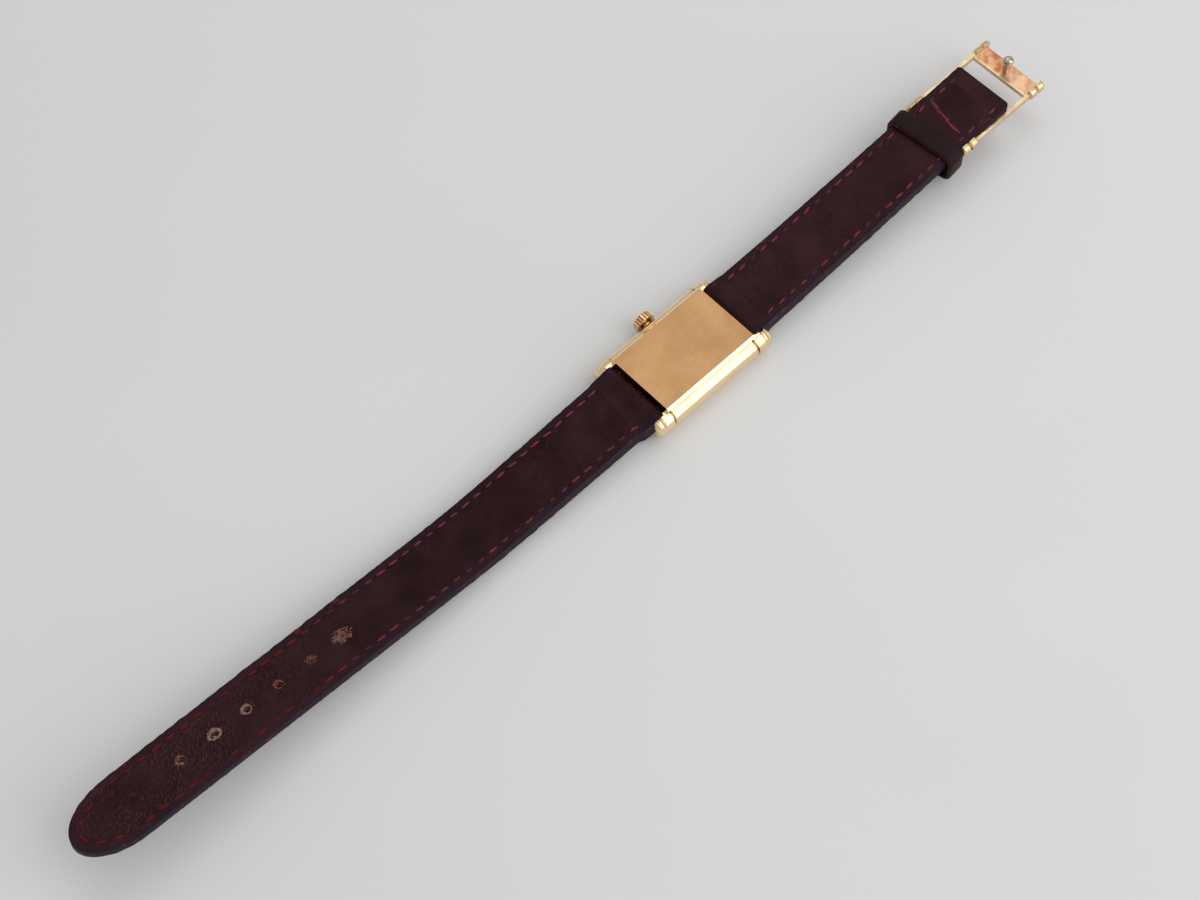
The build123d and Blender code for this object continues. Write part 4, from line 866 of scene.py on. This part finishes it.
# The tone attribute runs from 0, a fresh stitch, to 1, a worn one. Thread is duller at the long tip.
threadLook = {
    "fuzzNoise": (2600.0, 3.0, 0.6), "fuzzSpan": (0.3, 0.7), "dark": (86, 20, 30), "light": (134, 44, 52),
    "tipSpan": (-0.062, -0.086), "tip": (96, 16, 30), "wornSpan": (0.45, 1.0), "worn": (58, 20, 25),
    "shine": (0.35, 0.12), "roughness": 0.6, "twistScale": 1500.0, "twistWarp": 2.0, "bump": 0.5,
    "bumpDepth": 0.00004,
}


def threadMaterial(look):
    material, tree, shader = newMaterial("waxed thread")
    flat = objectPlace(tree)
    fuzz = spread(tree, noiseAt(tree, flat, *look["fuzzNoise"]), look["fuzzSpan"])
    tipward = spread(tree, axisOf(tree, flat, "X"), look["tipSpan"])
    colour = blendColours(tree, fuzz, look["dark"], look["light"])
    colour = blendColours(tree, tipward, colour, look["tip"])
    worn = spread(tree, attributeOf(tree, "tone"), look["wornSpan"])
    colour = blendColours(tree, worn, colour, look["worn"])
    shine = spread(tree, tipward, (0.0, 1.0), look["shine"])
    feed(tree, shader, {"Base Color": colour, "Roughness": look["roughness"], "Specular IOR Level": shine})
    sockets = {"Vector": flat, "Scale": look["twistScale"], "Distortion": look["twistWarp"]}
    twist = addNode(tree, "TexWave", sockets, bands_direction="DIAGONAL")
    bump(tree, shader, twist.outputs["Fac"], look["bump"], look["bumpDepth"])
    return material


thread = threadMaterial(threadLook)
for title, strap in (("long", longStrap), ("short", shortStrap)):
    stitches = stitchRows(title + "_strap_stitches", strap, thread)
    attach(stitches, title + "_strap")
print("stitches made")

# Torn rims round the holes, a little under the lining's face, and fibres over them. Steps are in the noise.
tornRim = {
    "segments": 8, "steps": 26, "ragged": 0.7, "raggedStep": 2.6, "raggedLeast": 0.2, "middle": 0.25,
    "middleGain": 0.25, "flatness": 0.25, "flatnessGain": 0.35, "lift": 0.05, "liftStep": 5, "under": 0.02,
    "tone": 0.7, "toneGain": 0.5, "toneStep": 1.4,
}
fibre = {
    "spread": (1.15, 0.8), "lift": 0.14, "turn": 1.1, "tilt": 0.25, "radii": (0.1, 0.03), "segments": 5,
    "lengths": (0.3, 0.85), "redOdds": 0.12, "redTone": -0.3,
}


# A ring round a hole, swept and then pulled about. Its tone runs from 0, red leather, to 1, pale flesh side.
def addRing(bm, tone, hole):
    known = set(bm.verts)
    wire = hole["rim"]
    shape = Matrix.Translation((1, 0, 0)) @ Matrix.Rotation(pi / 2, 4, "X")
    circle = bmesh.ops.create_circle(bm, segments=tornRim["segments"], radius=wire / 2, matrix=shape)["verts"]
    edges = [edge for edge in bm.edges if all(vert in circle for vert in edge.verts)]
    bmesh.ops.spin(bm, geom=circle + edges, cent=(0, 0, 0), axis=(0, 0, 1), angle=2 * pi,
                   steps=tornRim["steps"], use_merge=True)
    for vert in bm.verts:
        if vert in known:
            continue
        outward = Vector((vert.co.x, vert.co.y, 0)).normalized()
        tube = vert.co - outward
        toSide = cos(atan2(outward.y, outward.x) - radians(hole["side"]))
        torn = tornRim["ragged"] * noise.noise(outward * tornRim["raggedStep"] + Vector((hole["x"], 0, 0)))
        ragged = max(1 + torn + hole["oneSided"] * toSide, tornRim["raggedLeast"])
        middle = wire * (tornRim["middle"] + tornRim["middleGain"] * ragged)
        flatness = tornRim["flatness"] + tornRim["flatnessGain"] * ragged
        spot = Vector((outward.x * (hole["radii"][0] + middle), outward.y * (hole["radii"][1] + middle), 0))
        spot += Vector((tube.x * ragged, tube.y * ragged, tube.z * flatness))
        spot.z += tornRim["lift"] * noise.noise(spot * tornRim["liftStep"])
        vert.co = spot + Vector((hole["along"], 0, flatHalf - tornRim["under"]))
        mottle = noise.noise(outward * tornRim["toneStep"] + Vector((0, hole["x"], 0)))
        vert[tone] = hole["torn"] * (tornRim["tone"] + tornRim["toneGain"] * mottle)


def addFibre(bm, tone, hole):
    heading, out = chance.uniform(0, 2 * pi), sqrt(chance.random()) * hole["reach"]
    root = Vector((hole["along"] + fibre["spread"][0] * cos(heading) * out,
                   fibre["spread"][1] * sin(heading) * out,
                   flatHalf + chance.uniform(0.0, fibre["lift"])))
    shape = (Matrix.Translation(root)
             @ Matrix.Rotation(chance.uniform(-fibre["turn"], fibre["turn"]), 4, "Z")
             @ Matrix.Rotation(pi / 2 - chance.uniform(-fibre["tilt"], fibre["tilt"]), 4, "Y"))
    thick, thin = fibre["radii"]
    made = bmesh.ops.create_cone(bm, cap_ends=True, segments=fibre["segments"], radius1=thick, radius2=thin,
                                 depth=chance.uniform(*fibre["lengths"]), matrix=shape)
    shade = hole["torn"] * chance.random() if chance.random() > fibre["redOdds"] else fibre["redTone"]
    for vert in made["verts"]:
        vert[tone] = shade


fibreLook = {
    "mottleNoise": (1900.0, 4.0, 0.65), "mottle": 1.4, "middle": 0.5, "red": (108, 40, 34),
    "pale": (142, 129, 117), "roughness": 0.85, "shine": 0.25, "bumpNoise": (5200.0, 3.0, 0.7), "bump": 0.7,
    "bumpDepth": 0.00006,
}


def fibreMaterial(look):
    material, tree, shader = newMaterial("torn fibres")
    flat = objectPlace(tree)
    mottle = minus(tree, noiseAt(tree, flat, *look["mottleNoise"]), look["middle"])
    mixed = plus(tree, attributeOf(tree, "tone"), times(tree, mottle, look["mottle"]))
    colour = blendColours(tree, spread(tree, mixed, (0.0, 1.0)), look["red"], look["pale"])
    feed(tree, shader, {"Base Color": colour, "Roughness": look["roughness"],
                        "Specular IOR Level": look["shine"]})
    bump(tree, shader, noiseAt(tree, flat, *look["bumpNoise"]), look["bump"], look["bumpDepth"])
    return material


def makeHoleRims():
    bm = bmesh.new()
    tone = bm.verts.layers.float.new("tone")
    for hole in punchedHoles:
        addRing(bm, tone, hole)
    for hole in punchedHoles:
        for count in range(hole["fibres"]):
            addFibre(bm, tone, hole)
    bendStrap(longStrap, bm)
    faceOutward(bm)
    return addPiece("long_strap_hole_rims", bm, fibreMaterial(fibreLook), smoothAngle)


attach(makeHoleRims(), "long_strap")
print("hole rims made")

# Loop: a rounded band round the short strap, hanging lower on the dial side
loop = {
    "x": 60.4, "z": 6.4562, "lean": 0.085521, "width": 3.8, "inside": (12.56, 5.26), "drop": 1.05,
    "thickness": 0.9, "corner": 2.0, "cornerSegments": 6, "edge": 0.4, "edgeSegments": 4,
    "columns": (0.5, 12), "skew": 4.5, "rawEdge": 0.1, "pillow": 0.22, "swell": 0.05, "swellStep": 0.35,
    "sway": 0.12, "swaySteps": (0.25, 0.3), "swaySeed": 3.0,
}


def makeLoop():
    bm = bmesh.new()
    wide, tall = (size + 2 * loop["thickness"] for size in loop["inside"])
    bmesh.ops.create_cube(bm, size=1, matrix=Matrix.Diagonal((loop["width"], wide, tall, 1)))
    lengthwise = [edge for edge in bm.edges if abs(edge.verts[0].co.x - edge.verts[1].co.x) > touching]
    roundEdges(bm, lengthwise, loop["corner"], loop["cornerSegments"])
    caps = [face for face in bm.faces if abs(face.normal.x) > level]
    bmesh.ops.delete(bm, geom=caps, context="FACES_ONLY")
    bmesh.ops.solidify(bm, geom=bm.faces[:], thickness=loop["thickness"])
    faceOutward(bm)
    rims = edgesBetween(bm, lambda face: abs(face.normal.x) > level)
    roundEdges(bm, rims, loop["edge"], loop["edgeSegments"])
    cutLengthwise(bm, *loop["columns"])
    rim = bm.verts.layers.float.new("rim")
    yStep, zStep = loop["swaySteps"]
    for vert in bm.verts:
        vert[rim] = 1.0 if vert.co.x < loop["rawEdge"] - loop["width"] / 2 else 0.0
        edgeward = (2 * vert.co.x / loop["width"]) ** 2
        swell = loop["swell"] * noise.noise(vert.co * loop["swellStep"])
        swell -= loop["pillow"] * edgeward * copysign(1, vert.co.z)
        place = Vector((vert.co.y * yStep, vert.co.z * zStep, loop["swaySeed"]))
        vert.co.x += loop["sway"] * noise.noise(place)
        vert.co.z += swell
    move = (Matrix.Translation((loop["x"], 0, loop["z"])) @ Matrix.Rotation(-loop["lean"], 4, "Y")
            @ Matrix.Rotation(radians(loop["skew"]), 4, "Z") @ Matrix.Translation((0, 0, -loop["drop"])))
    bmesh.ops.transform(bm, matrix=Matrix.Scale(mm, 4) @ move, verts=bm.verts[:])
    return addPiece("loop_band", bm, leathers["loop"])


loopBand = makeLoop()
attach(loopBand, "loop")
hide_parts("strap_loop")
print("loop made")

# Finishes of the solids that stay, by node or by material slot. A plain look's row is its name, its two
# colours, the scale of its patches, the span of its roughness and how metallic it is.
plainLooks = {
    "seal_black": ("seal rubber", (20, 20, 22), (30, 30, 32), 900.0, (0.5, 0.7), 0.0),
    "dial_cream": ("dial lacquer", (238, 230, 208), (230, 220, 196), 400.0, (0.3, 0.45), 0.0),
    "marker_gold": ("applied markers", (232, 190, 120), (214, 168, 100), 900.0, (0.12, 0.25), 1.0),
    "hand_black": ("hand lacquer", (16, 16, 18), (26, 26, 28), 900.0, (0.2, 0.35), 0.0),
    "ring_plastic": ("ring plastic", (206, 204, 198), (190, 188, 182), 500.0, (0.45, 0.6), 0.0),
    "movement_brass": ("movement brass", (206, 170, 96), (190, 152, 84), 600.0, (0.25, 0.4), 1.0),
    "movement_steel": ("movement steel", (190, 192, 196), (168, 170, 176), 600.0, (0.22, 0.36), 1.0),
    "cell_steel": ("cell steel", (200, 202, 204), (182, 184, 188), 500.0, (0.28, 0.42), 1.0),
    "coil_copper": ("coil winding", (176, 92, 52), (146, 70, 38), 2000.0, (0.3, 0.45), 1.0),
    "board_green": ("circuit board", (26, 74, 46), (34, 90, 56), 700.0, (0.4, 0.55), 0.0),
    "bar_steel": ("bar steel", (184, 184, 186), (150, 150, 152), 900.0, (0.25, 0.4), 1.0),
    "stud_steel": ("stud steel", (206, 200, 190), (176, 160, 138), 900.0, (0.18, 0.36), 1.0),
}
finishes = {
    "case_tube": golds["worn"], "crown": golds["fluted"], "polished_gold": golds["polished"],
    "satin_gold": golds["satin"], "worn_gold": golds["worn"],
    "crystal_glass": simpleMaterial("mineral glass", (250, 252, 252), (244, 248, 250), 300.0, (0.02, 0.06),
                                    0.0, bumpStrength=0.02, more={"Transmission Weight": 1.0, "IOR": 1.5}),
}
for name, look in plainLooks.items():
    finishes[name] = simpleMaterial(*look)
for part in frame["record"]["subparts"]:
    finish = part["node"] if part["node"] in finishes else part["material_slot"]
    if finish in finishes:
        for materialSlot in nodes[part["node"]].material_slots:
            materialSlot.material = finishes[finish]
print("solids finished")

# Floor and light. The floor is clear from below and to rays that start on it, so that the dial can be seen.
floorLook = {
    "half": 1.5, "under": 0.00001, "clearReach": 0.0006, "cloudNoise": (14.0, 3.0, 0.5),
    "colours": ((226, 226, 226), (232, 232, 231)), "roughness": 0.9, "shine": 0.1,
}
lamps = (
    {"name": "side softbox", "spot": (0.24, -0.54, 0.48), "size": (0.66, 1.0), "power": 3.1},
    {"name": "overhead softbox", "spot": (0.24, 0.25, 0.66), "size": (0.6, 0.5), "power": 0.8},
)
worldStrength = 0.5


def makeFloor(look):
    bm = bmesh.new()
    bmesh.ops.create_grid(bm, x_segments=2, y_segments=2, size=look["half"])
    material, tree, shader = newMaterial("studio floor")
    cloud = noiseAt(tree, objectPlace(tree), *look["cloudNoise"])
    feed(tree, shader, {"Base Color": blendColours(tree, cloud, *look["colours"]),
                        "Roughness": look["roughness"], "Specular IOR Level": look["shine"]})
    clear = addNode(tree, "BsdfTransparent").outputs[0]
    below = addNode(tree, "NewGeometry").outputs["Backfacing"]
    near = combine(tree, "LESS_THAN", addNode(tree, "LightPath").outputs["Ray Length"], look["clearReach"])
    through = combine(tree, "MAXIMUM", below, near)
    mixed = addNode(tree, "MixShader", {0: through, 1: shader.outputs[0], 2: clear}).outputs[0]
    tree.links.new(mixed, tree.nodes["Material Output"].inputs[0])
    floor = addPiece("floor", bm, material)
    floor.location.z = -look["under"]


# A lamp that faces the watch
def addSoftbox(look):
    lamp = bpy.data.objects.new(look["name"], bpy.data.lights.new(look["name"], "AREA"))
    lamp.data.shape = "RECTANGLE"
    lamp.data.size, lamp.data.size_y = look["size"]
    lamp.data.energy = look["power"]
    lamp.location = look["spot"]
    lamp.rotation_euler = (-Vector(look["spot"])).to_track_quat("-Z", "Y").to_euler()
    scene.collection.objects.link(lamp)


def setWorld(strength):
    world = bpy.data.worlds.new("studio")
    scene.world = world
    world.use_nodes = True
    background = world.node_tree.nodes["Background"]
    background.inputs["Color"].default_value = (1.0, 1.0, 1.0, 1.0)
    background.inputs["Strength"].default_value = strength


makeFloor(floorLook)
setWorld(worldStrength)
for lamp in lamps:
    addSoftbox(lamp)
print("studio set")
